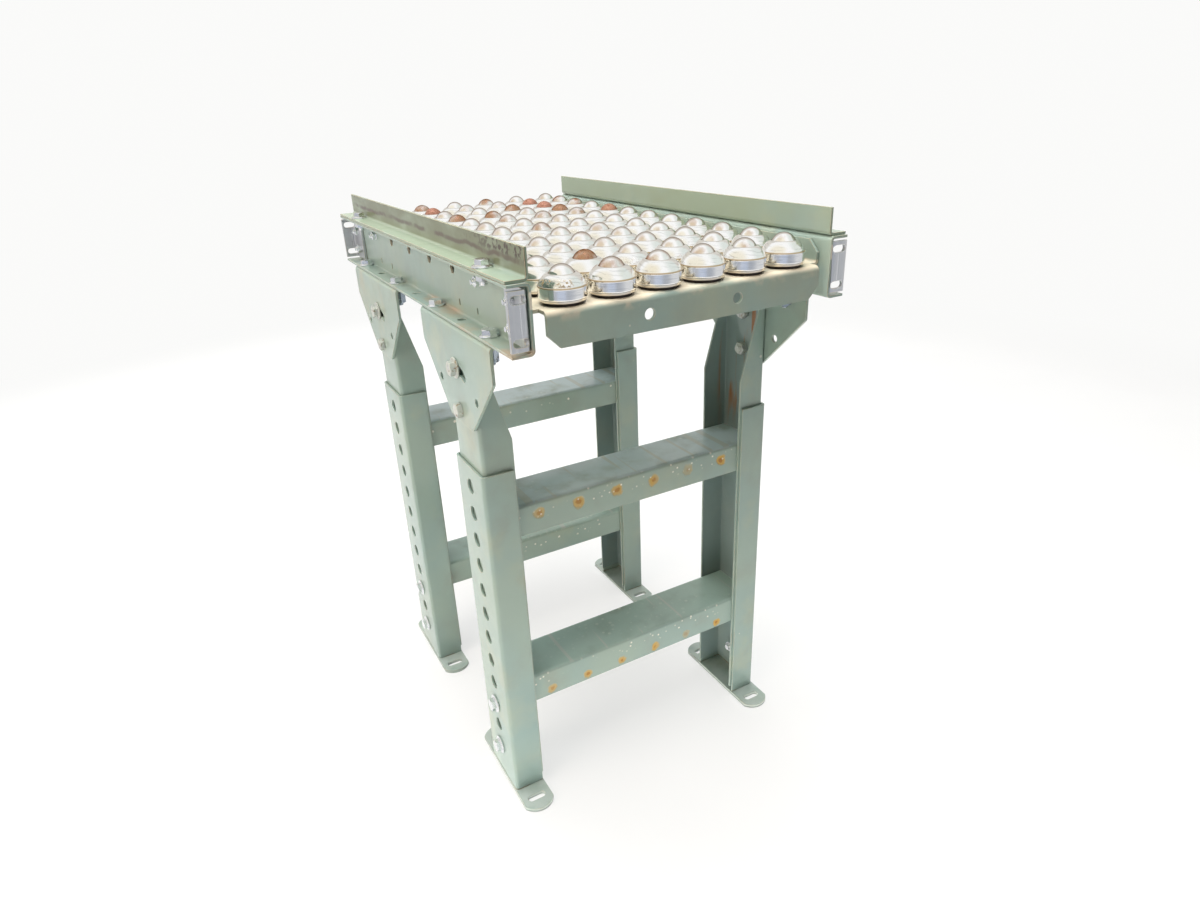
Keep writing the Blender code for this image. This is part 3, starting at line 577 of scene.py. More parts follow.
# Painted shade: a thin dark line in the crease where the band flares out over the lip.
painted_crease_shade = zinc.band(height, BED_TOP + 0.0051, 0.0002, 0.0003)
zinc.lay(painted_crease_shade, (0.22, 0.21, 0.22), 0.4)
lip = zinc.step(height, BED_TOP + 0.0048, BED_TOP + 0.0044)
zinc.lay((lip, 0.75), (0.62, 0.54, 0.42), 0.35)
# Painted shade: the base ring and the underside of the lip are near black, in the shade under the lip.
foot = zinc.step(height, BED_TOP + 0.0030, BED_TOP + 0.0026)
zinc.lay(foot, (0.10, 0.085, 0.08), 0.6)
lines = zinc.noise(60, 3, (1, 1, 14), 6.0)
wall = zinc.band(height, BED_TOP + 0.0105, 0.0042, 0.0006)
zinc.lay((wall, zinc.step(lines, 0.5, 0.68), 0.5), (0.66, 0.67, 0.69))
rust_mark = mark_of(zinc, "rust")
speckle = zinc.clouds(0.5, 0.6, 420, 3, shift=4.0)
left_part = zinc.step(east, 0.08, -0.08)
low_part = zinc.step(height, BED_TOP + 0.0245, BED_TOP + 0.022)
zinc.lay((speckle, rust_mark, dome, left_part, low_part), (0.34, 0.25, 0.12), 0.6, 0.2)
zinc.relief(zinc.noise(150, 2), 0.00006)
cup_finish = zinc.done()

DOME_FOOT, DOME_TOP, BOWL_POINTS = 0.0165, 0.0262, 7
CUP_SWELL = 0.0003
radii, rise = CUP_LINE.T
shoulder = np.clip((rise - DOME_FOOT) / 0.004, 0, 1) * np.clip((DOME_TOP - rise) / 0.003, 0, 1)
shoulder[-BOWL_POINTS:] = 0
cup_line = radii, BED_TOP + rise, CUP_SIDES
phases = chance.uniform(0, 2 * math.pi, (len(centres), 2))
cup_rust = chance.uniform(0, 1, len(centres)) ** 6 * 0.3
# The cup at the front left corner is the rusty one.
cup_rust[0] = 1.0
half_way = len(centres) // 2
for name, part in (("cups_front", slice(0, half_way)), ("cups_rear", slice(half_way, None))):
    cups = made_piece(name, *turned(*cup_line, centres[part], CUP_SWELL * shoulder, phases[part]))
    marked(cups, "rust", np.repeat(cup_rust[part], len(cups.data.vertices) // half_way))
    cups.data.materials.append(cup_finish)
    cups.data.shade_smooth()
    outward(cups)
    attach(cups, "bed")
    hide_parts("bed_plate")

steel = Finish("ball_steel", (0.97, 0.96, 0.95), 0.08, 1.0)
steel.levels["Specular Tint"] = (0.34, 0.26, 0.21, 1.0)
rust_mark = mark_of(steel, "rust")
film = steel.noise(55, 5, shift=3.3)
east, north = in_cell(steel, "X"), in_cell(steel, "Y")
rise = steel.sum("SUBTRACT", steel.along("Z"), BED_TOP + BALL_HEIGHT)
rise = steel.sum("DIVIDE", rise, PITCH)
# A painted reflection: a tan patch on the side of each ball towards the front, the left and up, with a ragged
# edge.
lean = steel.sum("ADD", steel.times(east, -0.65), steel.times(north, -0.49))
lean = steel.sum("ADD", lean, steel.times(rise, 0.58))
rag = steel.times(steel.sum("SUBTRACT", steel.noise(60, 4), 0.5), 0.22)
painted_reflection = steel.sum("ADD", lean, rag)
steel.lay((steel.step(painted_reflection, 0.225, 0.275), 0.6), (0.62, 0.46, 0.34))
stain = steel.step(steel.sum("ADD", film, steel.times(rust_mark, 0.45)), 0.6, 0.9)
steel.lay(stain, (0.50, 0.30, 0.19), 0.2)
crust = (steel.step(rust_mark, 0.75, 1.0), steel.step(film, 0.2, 0.45))
steel.lay(crust, (0.33, 0.165, 0.12), 0.34, 0.35)
pits = steel.times(steel.clouds(0.5, 0.62, 300, 5, shift=6.1), stain, rust_mark)
steel.lay(pits, (0.22, 0.10, 0.06), 0.5, 0.3)
steel.relief(steel.noise(800, 2), 0.000015)
ball_finish = steel.done()

polar = np.linspace(-math.pi / 2, math.pi / 2, BALL_STEPS)
ball_line = BALL_RADIUS * np.cos(polar), BED_TOP + BALL_HEIGHT + BALL_RADIUS * np.sin(polar), BALL_SIDES
ball_rust = chance.uniform(0, 1, len(centres)).reshape(ROWS, COLUMNS) ** 3 * 0.4
# Balls that show rust in the photograph, by row from the front and column from the left.
RUSTY_BALLS = {
    (11, 1): 0.8, (10, 1): 1.0, (9, 1): 0.3, (8, 1): 0.75, (7, 1): 0.5, (8, 2): 0.6, (7, 2): 0.4,
    (11, 3): 0.5, (9, 3): 0.6, (7, 3): 0.6, (10, 4): 1.0, (9, 4): 1.0, (8, 4): 0.8, (10, 5): 0.5,
    (9, 5): 0.7, (7, 5): 0.9, (1, 1): 0.7, (0, 1): 0.45, (0, 2): 0.5,
}
for place, amount in RUSTY_BALLS.items():
    ball_rust[place] = amount
ball_rust = ball_rust.ravel()
rolling = ROLLING_ROWS * COLUMNS
fixed_balls = made_piece("balls_fixed", *turned(*ball_line, centres[rolling:]))
points_each = len(fixed_balls.data.vertices) // (len(centres) - rolling)
marked(fixed_balls, "rust", np.repeat(ball_rust[rolling:], points_each))
made_balls = [(fixed_balls, "bed", "bed_plate")]
for number in range(rolling):
    name = f"ball_r{number // COLUMNS + 1}_c{number % COLUMNS + 1}"
    ball = made_piece(f"load_{name}", *turned(*ball_line, centres[number:number + 1]))
    marked(ball, "rust", np.full(len(ball.data.vertices), ball_rust[number]))
    made_balls.append((ball, f"{name}_body", name))
for ball, body, node in made_balls:
    ball.data.materials.append(ball_finish)
    ball.data.shade_smooth()
    outward(ball)
    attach(ball, body)
    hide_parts(node)

# Rails
# Two channels rolled from sheet, web towards the bed, punched for six-sided
# roller axles and for bolts, and sprayed like the bed.
RAIL_GAUGE = 0.0027
RAIL_INNER, RAIL_OUTER = 0.1683, 0.1905
RAIL_LOW, RAIL_TOP = 0.607, 0.6705
RAIL_END = 0.3048
WEB_MIDDLE, WEB_CUT, SHEET_CUT = 0.17, 0.004, 0.006
AXLES, AXLE_PITCH = 8, 0.0762
AXLE_HOLES = AXLE_PITCH * (np.arange(AXLES) - (AXLES - 1) / 2)
AXLE_HEIGHT, AXLE_FLATS = 0.655, 0.0115
SUPPORT_Y = 0.1524
FLANGE_HOLE_X, FLANGE_HOLE = 0.1794, 0.009
SLOT_OFF, SLOT_RISE, SLOT_SIZE = 0.0254, 0.0146, (0.007, 0.0032)


def slot_hole(across, up, length, width, upright=False, steps=12):
    """Outline of a round-ended slot: two half circles drawn apart along its length."""
    angle = np.linspace(-math.pi / 2, math.pi / 2, steps + 1)
    half = np.column_stack((np.cos(angle), np.sin(angle))) * width / 2
    half[:, 0] += (length - width) / 2
    ring = np.vstack((half, -half))
    return ring[:, ::-1] * (-1, 1) + (across, up) if upright else ring + (across, up)


def through(outline, at, reach, axis):
    """A cutter: an outline carried from one side of a sheet to the other."""
    return carried(outline, at - reach, at + reach, axis)


def punched(piece, outlines, at, reach, axis):
    """Cuts holes of the given outlines through a sheet."""
    worked(piece, "DIFFERENCE", *(through(outline, at, reach, axis) for outline in outlines))


def channel(lip, web, low, high):
    """Corners of a channel: its web on one line, and its two flanges out to the line of the lips."""
    return [(lip, low), (web, low), (web, high), (lip, high)]


paint = enamel("rail_enamel", 0.25)
under = (paint.step(paint.along("Z"), RAIL_LOW + 0.009, RAIL_LOW + 0.003),
         paint.clouds(0.5, 0.66, 18, 5, (1, 0.5, 1), 2.6))
paint.lay(under, (0.42, 0.33, 0.23), 0.6)
# The walls of the axle holes are pale: bare worn steel, and a painted highlight.
hole_wall_wear_and_highlight = (paint.band(paint.aside("X"), RAIL_INNER + RAIL_GAUGE / 2, 0.0009, 0.0003),
             paint.band(paint.along("Z"), AXLE_HEIGHT, 0.007, 0.001))
paint.lay(hole_wall_wear_and_highlight, (0.66, 0.62, 0.51), 0.5)
rail_finish = paint.done()
for side, sign in SIDES.items():
    web = sign * WEB_MIDDLE
    corners = channel(sign * RAIL_OUTER, sign * RAIL_INNER, RAIL_LOW, RAIL_TOP)
    rail = folded(f"rail_{side}_channel", corners, RAIL_GAUGE, -RAIL_END, RAIL_END, "Y")
    axle_hole = AXLE_FLATS / math.cos(math.pi / 6)
    cuts = [through(round_hole(y, AXLE_HEIGHT, axle_hole, 6), web, WEB_CUT, "X") for y in AXLE_HOLES]
    cuts += [through(round_hole(sign * FLANGE_HOLE_X, y, FLANGE_HOLE), RAIL_LOW, SHEET_CUT, "Z")
             for y in (-SUPPORT_Y, 0, SUPPORT_Y)]
    cuts += [through(slot_hole(y + off, RAIL_LOW + SLOT_RISE, *SLOT_SIZE, True), web, WEB_CUT, "X")
             for y in (-SUPPORT_Y, SUPPORT_Y) for off in (-SLOT_OFF, SLOT_OFF)]
    worked(rail, "DIFFERENCE", *cuts)
    eased(rail, rail_finish, sheet_edge)
    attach(rail, "bed")
    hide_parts(f"rail_{side}")

# Guards
# Two steel angles bolted on the rails' top flanges. Loads have rubbed a brown
# line along the left one's outer face and roughened its front corner.
GUARD_GAUGE = 0.0027
GUARD_SEAT, GUARD_TOP = 0.6708, 0.6991
GUARD_END = 0.3018
paint = enamel("guard_enamel", 0.3, 0.07)
level = paint.along("Z")
ripple = paint.noise(26, 5, (1, 1, 0.3), 1.9)
height = paint.sum("ADD", level, paint.times(paint.sum("SUBTRACT", ripple, 0.5), 0.012))
line = paint.times(paint.step(height, GUARD_SEAT + 0.0115, GUARD_SEAT + 0.014),
                   paint.step(height, GUARD_SEAT + 0.0185, GUARD_SEAT + 0.0155))
broken = paint.clouds(0.4, 0.55, 20, 5, (1, 1, 0.2), 5.5)
outside = paint.times(paint.step(paint.along("X"), -0.1695, -0.1705),
                      paint.step(level, GUARD_SEAT + 0.004, GUARD_SEAT + 0.006))
yellowed = paint.clouds(0.2, 0.5, 9, 3, shift=4.7)
paint.lay((yellowed, 0.9), (0.262, 0.328, 0.238))
veil = (outside, paint.clouds(0.1, 0.6, 35, 4, (1, 0.5, 1), 8.8), 0.9)
paint.lay(veil, (0.135, 0.145, 0.08), 0.5)
paint.lay((line, broken, outside, 0.85), (0.085, 0.06, 0.042), 0.65)
front = paint.step(paint.along("Y"), -0.13, -0.26)
scabs = paint.clouds(0.5, 0.58, 150, 5, shift=3.7)
upper = paint.step(level, GUARD_TOP - 0.014, GUARD_TOP - 0.008)
rough = paint.times(front, scabs, upper, outside)
paint.lay(rough, (0.07, 0.055, 0.042), 0.8)
paint.relief(rough, 0.0004)
guard_finish = paint.done()
guard_edge = worn_edge("guard_edge", 0.9)
for side, sign in SIDES.items():
    inner, outer = sign * RAIL_INNER, sign * RAIL_OUTER
    corners = [(outer, GUARD_SEAT), (inner, GUARD_SEAT), (inner, GUARD_TOP)]
    guard = folded(f"guard_{side}_angle", corners, GUARD_GAUGE, -GUARD_END, GUARD_END, "Y")
    eased(guard, guard_finish, guard_edge)
    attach(guard, "bed")
    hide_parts(f"guard_{side}")

# End couplings
# Four small angles, zinc plated, bolted inside the rail ends, with two slots
# each to bolt the next bed on.
COUPLING_GAUGE, COUPLING_WEB, COUPLING_LEG = 0.0034, 0.1713, 0.045
COUPLING_LOW, COUPLING_HIGH = 0.6122, 0.6653
COUPLING_SLOT_X, COUPLING_SLOT_Z, COUPLING_SLOT = 0.1806, (0.6202, 0.6573), (0.0152, 0.0075)
COUPLING_CUT, COUPLING_EASE = 0.008, 0.0004
POSTS = [(end, side, y_sign, sign) for end, y_sign in ENDS.items() for side, sign in SIDES.items()]
zinc = Finish("coupling_zinc", (0.60, 0.615, 0.635), 0.34, 0.85)
zinc.lay(zinc.clouds(0.4, 0.68, 28, 4), (0.53, 0.545, 0.57), 0.42)
brushed = zinc.noise(90, 4, (1, 1, 0.12), 3.0)
zinc.lay(zinc.step(brushed, 0.5, 0.75), (0.70, 0.70, 0.70), 0.3)
zinc.lay(zinc.specks(70, 0.08, 0.2, 1.1), (0.36, 0.34, 0.32), 0.6)
scribed = (zinc.band(zinc.aside("X"), 0.1796, 0.0002, 0.0003),
           zinc.band(zinc.along("Z"), (COUPLING_LOW + COUPLING_HIGH) / 2, 0.013, 0.001))
zinc.lay(scribed, (0.86, 0.87, 0.88), 0.25)
zinc.relief(brushed, 0.00006)
coupling_finish = zinc.done()
zinc = Finish("coupling_edge", (0.62, 0.56, 0.46), 0.35, 0.8)
zinc.lay(zinc.clouds(0.42, 0.6, 60, 4), (0.70, 0.70, 0.68), 0.25)
zinc.relief(zinc.noise(700, 2), 0.00004)
coupling_edge = zinc.done()
for end, side, y_sign, sign in POSTS:
    face, web = y_sign * RAIL_END, sign * COUPLING_WEB
    corners = [(sign * RAIL_OUTER, face), (web, face), (web, face - y_sign * COUPLING_LEG)]
    coupling = folded(
        f"coupling_{end}_{side}_angle", corners, COUPLING_GAUGE, COUPLING_LOW, COUPLING_HIGH, "Z")
    slots = [slot_hole(sign * COUPLING_SLOT_X, z, *COUPLING_SLOT) for z in COUPLING_SLOT_Z]
    punched(coupling, slots, face, COUPLING_CUT, "Y")
    eased(coupling, coupling_finish, coupling_edge, COUPLING_EASE)
    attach(coupling, "bed")
    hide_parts(f"coupling_{end}_{side}")

# Bolts in the bed
# Bright zinc-plated bolts: flanged ones through the guards, and through the
# rails' bottom flanges into the brackets, and nuts on the bed and couplings.
THREAD_PITCH = 0.0014
THREAD_DEPTH = 0.55 * THREAD_PITCH
HEX_CIRCLE = 0.47
BOLT_ANGLE = math.radians(28)


def capped(r, h, angle):
    """A tube of rings, point = (r cos angle, r sin angle, h), closed at both ends by a flat face."""
    r, h, angle = np.broadcast_arrays(r, h, angle)
    points = np.stack((r * np.cos(angle), r * np.sin(angle), h), axis=-1)
    return points.reshape(-1, 3), tube(len(r) - 1, r.shape[1])


def hex_bar(flats, height, ends=(False, True), spin=0.0, sides=48):
    """A six-sided head or nut: radius = half the flats / cos(angle from the nearest flat), and each chosen
    end cut by a cone of 30 degrees that starts from a circle just inside the flats."""
    angle = angles(sides)
    radius = flats / 2 / np.cos((angle + math.pi / 6) % (math.pi / 3) - math.pi / 6)
    circle = np.full(sides, HEX_CIRCLE * flats)
    drop = (radius - circle) * math.tan(math.pi / 6)
    h = np.stack((0 * drop, drop * ends[0], height - drop * ends[1], height + 0 * drop))
    return capped(np.stack((circle, radius, radius, circle)), h, angle + spin)


def round_bar(profile, sides=40):
    """A profile of (radius, height) turned about the bolt's line and closed at both ends."""
    profile = np.array(profile, float)
    return capped(profile[:, :1], profile[:, 1:], angles(sides))


def threaded(diameter, length, sides=24):
    """A threaded end: radius falls from crest to root and back once a pitch, along a helix of the angle."""
    h = np.linspace(0, length, int(length / THREAD_PITCH * 6) + 1)[:, None]
    angle = angles(sides)
    phase = (h / THREAD_PITCH - angle / (2 * math.pi)) % 1
    taper = np.clip((length - h) / (2 * THREAD_DEPTH), 0, 1)
    r = diameter / 2 - THREAD_DEPTH * np.abs(2 * phase - 1) * taper - THREAD_DEPTH * (1 - taper)
    return capped(r, h, angle)


def stood(shape, place, way):
    """A shape made along Z, stood at a place with that line along the given way."""
    points, faces = shape
    w = np.array(way, float)
    u = np.roll(np.abs(w), 1)
    v = np.cross(w, u)
    return points @ np.stack((u, v, w)) + place, faces


def nut(size, spin, place, way):
    """A six-sided nut with the bolt's threaded end through it, stood at a place."""
    flats, height, thread, length = size
    return [stood(hex_bar(flats, height, (True, True), spin), place, way),
            stood(threaded(thread, length), place, way)]


zinc = Finish("bolt_zinc", (0.90, 0.91, 0.93), 0.2, 1.0)
zinc.lay(zinc.clouds(0.45, 0.75, 160, 4), (0.74, 0.76, 0.79), 0.32)
zinc.lay(zinc.clouds(0.66, 0.76, 90, 5, shift=5.0), (0.50, 0.43, 0.33), 0.5)
zinc.relief(zinc.noise(500, 2), 0.00004)
bolt_finish = zinc.done()
zinc = Finish("nut_blue_zinc", (0.36, 0.42, 0.49), 0.3, 0.85)
zinc.lay(zinc.clouds(0.4, 0.7, 120, 4), (0.50, 0.55, 0.61), 0.25)
zinc.lay(zinc.clouds(0.6, 0.7, 200, 3, shift=2.0), (0.14, 0.13, 0.12), 0.6)
zinc.relief(zinc.noise(600, 2), 0.00004)
nut_finish = zinc.done()


def bolts_done(piece, finish, body):
    """Gives a set of bolts its finish and edges, and the body that carries it."""
    outward(piece)
    piece.data.materials.append(finish)
    piece.data.shade_smooth()
    piece.data.set_sharp_from_angle(angle=BOLT_ANGLE)
    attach(piece, body)


UP, DOWN = (0, 0, 1), (0, 0, -1)
GUARD_BOLT_X, GUARD_BOLT_Y = 0.1805, 0.2286
GUARD_FLANGE = np.array([
    (0.0098, 0.0), (0.0102, 0.0004), (0.0102, 0.0011), (0.0096, 0.0015), (0.0075, 0.0024), (0.0070, 0.0026)])
GUARD_HEAD, GUARD_NUT = (0.0127, 0.0075), (0.0127, 0.0066, 0.0079, 0.0105)
BED_NUT_Y, BED_NUT_DROP = 0.1905, 0.0016
BED_WASHER = [(0.0070, 0), (0.0073, 0.0003), (0.0073, 0.0011), (0.0070, 0.0014)]
BED_NUT = (0.0098, 0.0056, 0.0063, 0.0088)
COUPLING_NUT_Y, COUPLING_NUT_Z = RAIL_END - 0.029, (0.6265, 0.6505)
COUPLING_NUT = (0.0111, 0.0050, 0.0063, 0.0085)
BRACKET_BOLT_X, BRACKET_NUT_X, BRACKET_UNDER = 0.1808, 0.1804, 0.6033
BRACKET_BOLTS = (-0.2286, -0.0762, 0.0762, 0.2286)
BRACKET_BOLT_FLANGE = GUARD_FLANGE * (0.92, 1)
BRACKET_HEAD, BRACKET_NUT = (0.0135, 0.0072), (0.0127, 0.0185, 0.0079, 0.0215)
for side, sign in SIDES.items():
    out = (sign, 0, 0)
    shapes = []
    for y in (-GUARD_BOLT_Y, GUARD_BOLT_Y):
        spin = chance.uniform(0, 1)
        x = sign * GUARD_BOLT_X
        place = (x, y, GUARD_SEAT + GUARD_GAUGE)
        shapes += [stood(round_bar(GUARD_FLANGE), place, UP),
                   stood(hex_bar(*GUARD_HEAD, spin=spin), place, UP)]
        shapes += nut(GUARD_NUT, spin, (x, y, RAIL_TOP - RAIL_GAUGE), DOWN)
    for y in (-BED_NUT_Y, BED_NUT_Y):
        face = sign * (RAIL_INNER + RAIL_GAUGE)
        shapes.append(stood(round_bar(BED_WASHER), (face, y, AXLE_HEIGHT), out))
        shapes += nut(BED_NUT, chance.uniform(0, 1), (face, y, AXLE_HEIGHT - BED_NUT_DROP), out)
    for y in (-COUPLING_NUT_Y, COUPLING_NUT_Y):
        for z in COUPLING_NUT_Z:
            place = (sign * (COUPLING_WEB + COUPLING_GAUGE), y, z)
            shapes += nut(COUPLING_NUT, chance.uniform(0, 1), place, out)
    for y in BRACKET_BOLTS:
        place = (sign * BRACKET_BOLT_X, y, RAIL_LOW + RAIL_GAUGE)
        shapes += [stood(round_bar(BRACKET_BOLT_FLANGE), place, UP),
                   stood(hex_bar(*BRACKET_HEAD, spin=chance.uniform(0, 1)), place, UP)]
    bolts_done(made_piece(f"bed_bolts_{side}", *joined(*shapes)), bolt_finish, "bed")
    shapes = []
    for y in BRACKET_BOLTS:
        shapes += nut(BRACKET_NUT, chance.uniform(0, 1), (sign * BRACKET_NUT_X, y, BRACKET_UNDER), DOWN)
    bolts_done(made_piece(f"bracket_nuts_{side}", *joined(*shapes)), nut_finish, "bed")

# Pivot brackets
# Four plates folded at the top and bolted under the rails. Each has a pivot
# hole, an arc slot for the lock bolt and two spare holes.
BRACKET_GAUGE = 0.0034
BRACKET_OUTER, BRACKET_FLANGE = 0.1919, 0.0255
BRACKET_TOP, BRACKET_TIP, BRACKET_ABOVE = 0.6067, 0.5003, 0.62
BRACKET_HALF, BRACKET_TIP_HALF, BRACKET_SIDE = 0.102, 0.0315, 0.037
BRACKET_ROUND = 0.004
TRIM_MIDDLE, TRIM_REACH, PLATE_CUT = 0.18, 0.02, 0.008
PIVOT_Z = 0.5148
ARC_RADIUS, ARC_HALF = 0.0465, math.radians(27)
BOLT_HOLE = 0.0111
SPARE_OFF, SPARE_RISE, SPARE_HOLE = 0.0525, 0.023, 0.009


def arc_slot(across, up, radius, half_angle, width, steps=24):
    """Outline of a slot bent round a centre: an outer arc, a round end, an inner arc and a round end."""
    sweep = np.linspace(-half_angle, half_angle, steps + 1)
    turn = np.linspace(0, math.pi, 11)[1:-1]
    out = np.column_stack((np.sin(sweep), np.cos(sweep)))
    ends = []
    for angle, way in ((half_angle, 1), (-half_angle, -1)):
        radial = np.array((math.sin(angle), math.cos(angle)))
        ahead = way * np.array((math.cos(angle), -math.sin(angle)))
        round_end = np.outer(np.cos(turn), way * radial) + np.outer(np.sin(turn), ahead)
        ends.append(radial * radius + width / 2 * round_end)
    ring = np.vstack((out * (radius + width / 2), ends[0], out[::-1] * (radius - width / 2), ends[1]))
    return ring + (across, up)


paint = enamel("bracket_enamel", 0.3, 0.06)
runs = paint.clouds(0.5, 0.75, 24, 4, (1, 1, 0.25), 6.2)
paint.lay((runs, 0.5), (0.40, 0.38, 0.27), 0.5)
bracket_finish = paint.done()
for end, side, y_sign, sign in POSTS:
    y, outer = y_sign * SUPPORT_Y, sign * BRACKET_OUTER
    corners = [(outer - sign * BRACKET_FLANGE, BRACKET_TOP), (outer, BRACKET_TOP), (outer, BRACKET_TIP)]
    bracket = folded(
        f"bracket_{end}_{side}_plate", corners, BRACKET_GAUGE, y - BRACKET_HALF, y + BRACKET_HALF, "Y")
    half = bent([(0, BRACKET_ABOVE), (BRACKET_HALF, BRACKET_ABOVE),
                 (BRACKET_HALF, BRACKET_TOP - BRACKET_SIDE), (BRACKET_TIP_HALF, BRACKET_TIP),
                 (0, BRACKET_TIP)], BRACKET_ROUND)
    ring = np.vstack((half, (half * (-1, 1))[-2:0:-1])) + (y, 0)
    worked(bracket, "INTERSECT", through(ring, sign * TRIM_MIDDLE, TRIM_REACH, "X"))
    holes = [round_hole(y, PIVOT_Z, BOLT_HOLE), arc_slot(y, PIVOT_Z, ARC_RADIUS, ARC_HALF, BOLT_HOLE)]
    holes += [round_hole(y + off, PIVOT_Z + SPARE_RISE, SPARE_HOLE) for off in (-SPARE_OFF, SPARE_OFF)]
    punched(bracket, holes, outer, PLATE_CUT, "X")
    eased(bracket, bracket_finish, sheet_edge)
    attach(bracket, "bed")
    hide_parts(f"bracket_{end}_{side}")

# Uprights
# Four channels open towards the middle, cut to a taper at the top so that they
# can tilt under the rails.
LEG_GAUGE = 0.0027
UPRIGHT_OUTER, UPRIGHT_FLANGE, UPRIGHT_HALF = 0.1882, 0.0363, 0.0373
UPRIGHT_LOW, UPRIGHT_TOP = 0.0143, 0.5848
UPRIGHT_TAPER, UPRIGHT_TOP_FLANGE = 0.1, 0.008
TAPER_CLEAR, TAPER_REACH = 0.02, 0.06
CLAMP_HEIGHTS = {"lower": 0.0503, "upper": 0.1183}
paint = enamel("upright_enamel", 0.35, 0.07)
# Painted shade: the inside faces of the channel are darker and bluer.
painted_shade_inside = paint.times(
    paint.band(paint.along("X"), 0.0, UPRIGHT_OUTER - 0.8 * LEG_GAUGE, 0.2 * LEG_GAUGE),
    paint.band(paint.aside("Y"), SUPPORT_Y, UPRIGHT_HALF - 0.8 * LEG_GAUGE, 0.2 * LEG_GAUGE))
paint.lay((painted_shade_inside, 0.6), (0.16, 0.22, 0.23), 0.5)
streak = (paint.clouds(0.56, 0.68, 70, 5, (1, 1, 0.12), 2.9),
          paint.step(paint.along("X"), 0.17, 0.18), paint.step(paint.along("Z"), 0.38, 0.46))
paint.lay(streak, RUST, 0.7)
upright_finish = paint.done()
leg_edge = worn_edge("leg_edge", 0.35)
for end, side, y_sign, sign in POSTS:
    y, outer = y_sign * SUPPORT_Y, sign * UPRIGHT_OUTER
    inner, tip = outer - sign * UPRIGHT_FLANGE, outer - sign * UPRIGHT_TOP_FLANGE
    corners = channel(inner, outer, y - UPRIGHT_HALF, y + UPRIGHT_HALF)
    upright = folded(f"upright_{end}_{side}_channel", corners, LEG_GAUGE, UPRIGHT_LOW, UPRIGHT_TOP, "Z")
    clear, low, high = inner - sign * TAPER_CLEAR, UPRIGHT_TOP - UPRIGHT_TAPER, UPRIGHT_TOP + TAPER_CLEAR
    taper = np.array([(inner, low), (tip, UPRIGHT_TOP), (tip, high), (clear, high), (clear, low)])
    punched(upright, [taper], y, TAPER_REACH, "Y")
    heights = (PIVOT_Z, PIVOT_Z + ARC_RADIUS, *CLAMP_HEIGHTS.values())
    holes = [round_hole(y, z, BOLT_HOLE) for z in heights]
    punched(upright, holes, outer, SHEET_CUT, "X")
    eased(upright, upright_finish, leg_edge)
    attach(upright, f"{end}_support")
    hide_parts(f"upright_{end}_{side}")

# Cross braces
# Channels open downwards, welded between the uprights. Their front faces have
# a row of rusty dimples and chipped enamel.
BRACE_HALF, BRACE_REACH, BRACE_FLANGE = 0.0343, 0.1833, 0.038
BRACE_TOPS = {"upper": 0.4023, "lower": 0.1673}
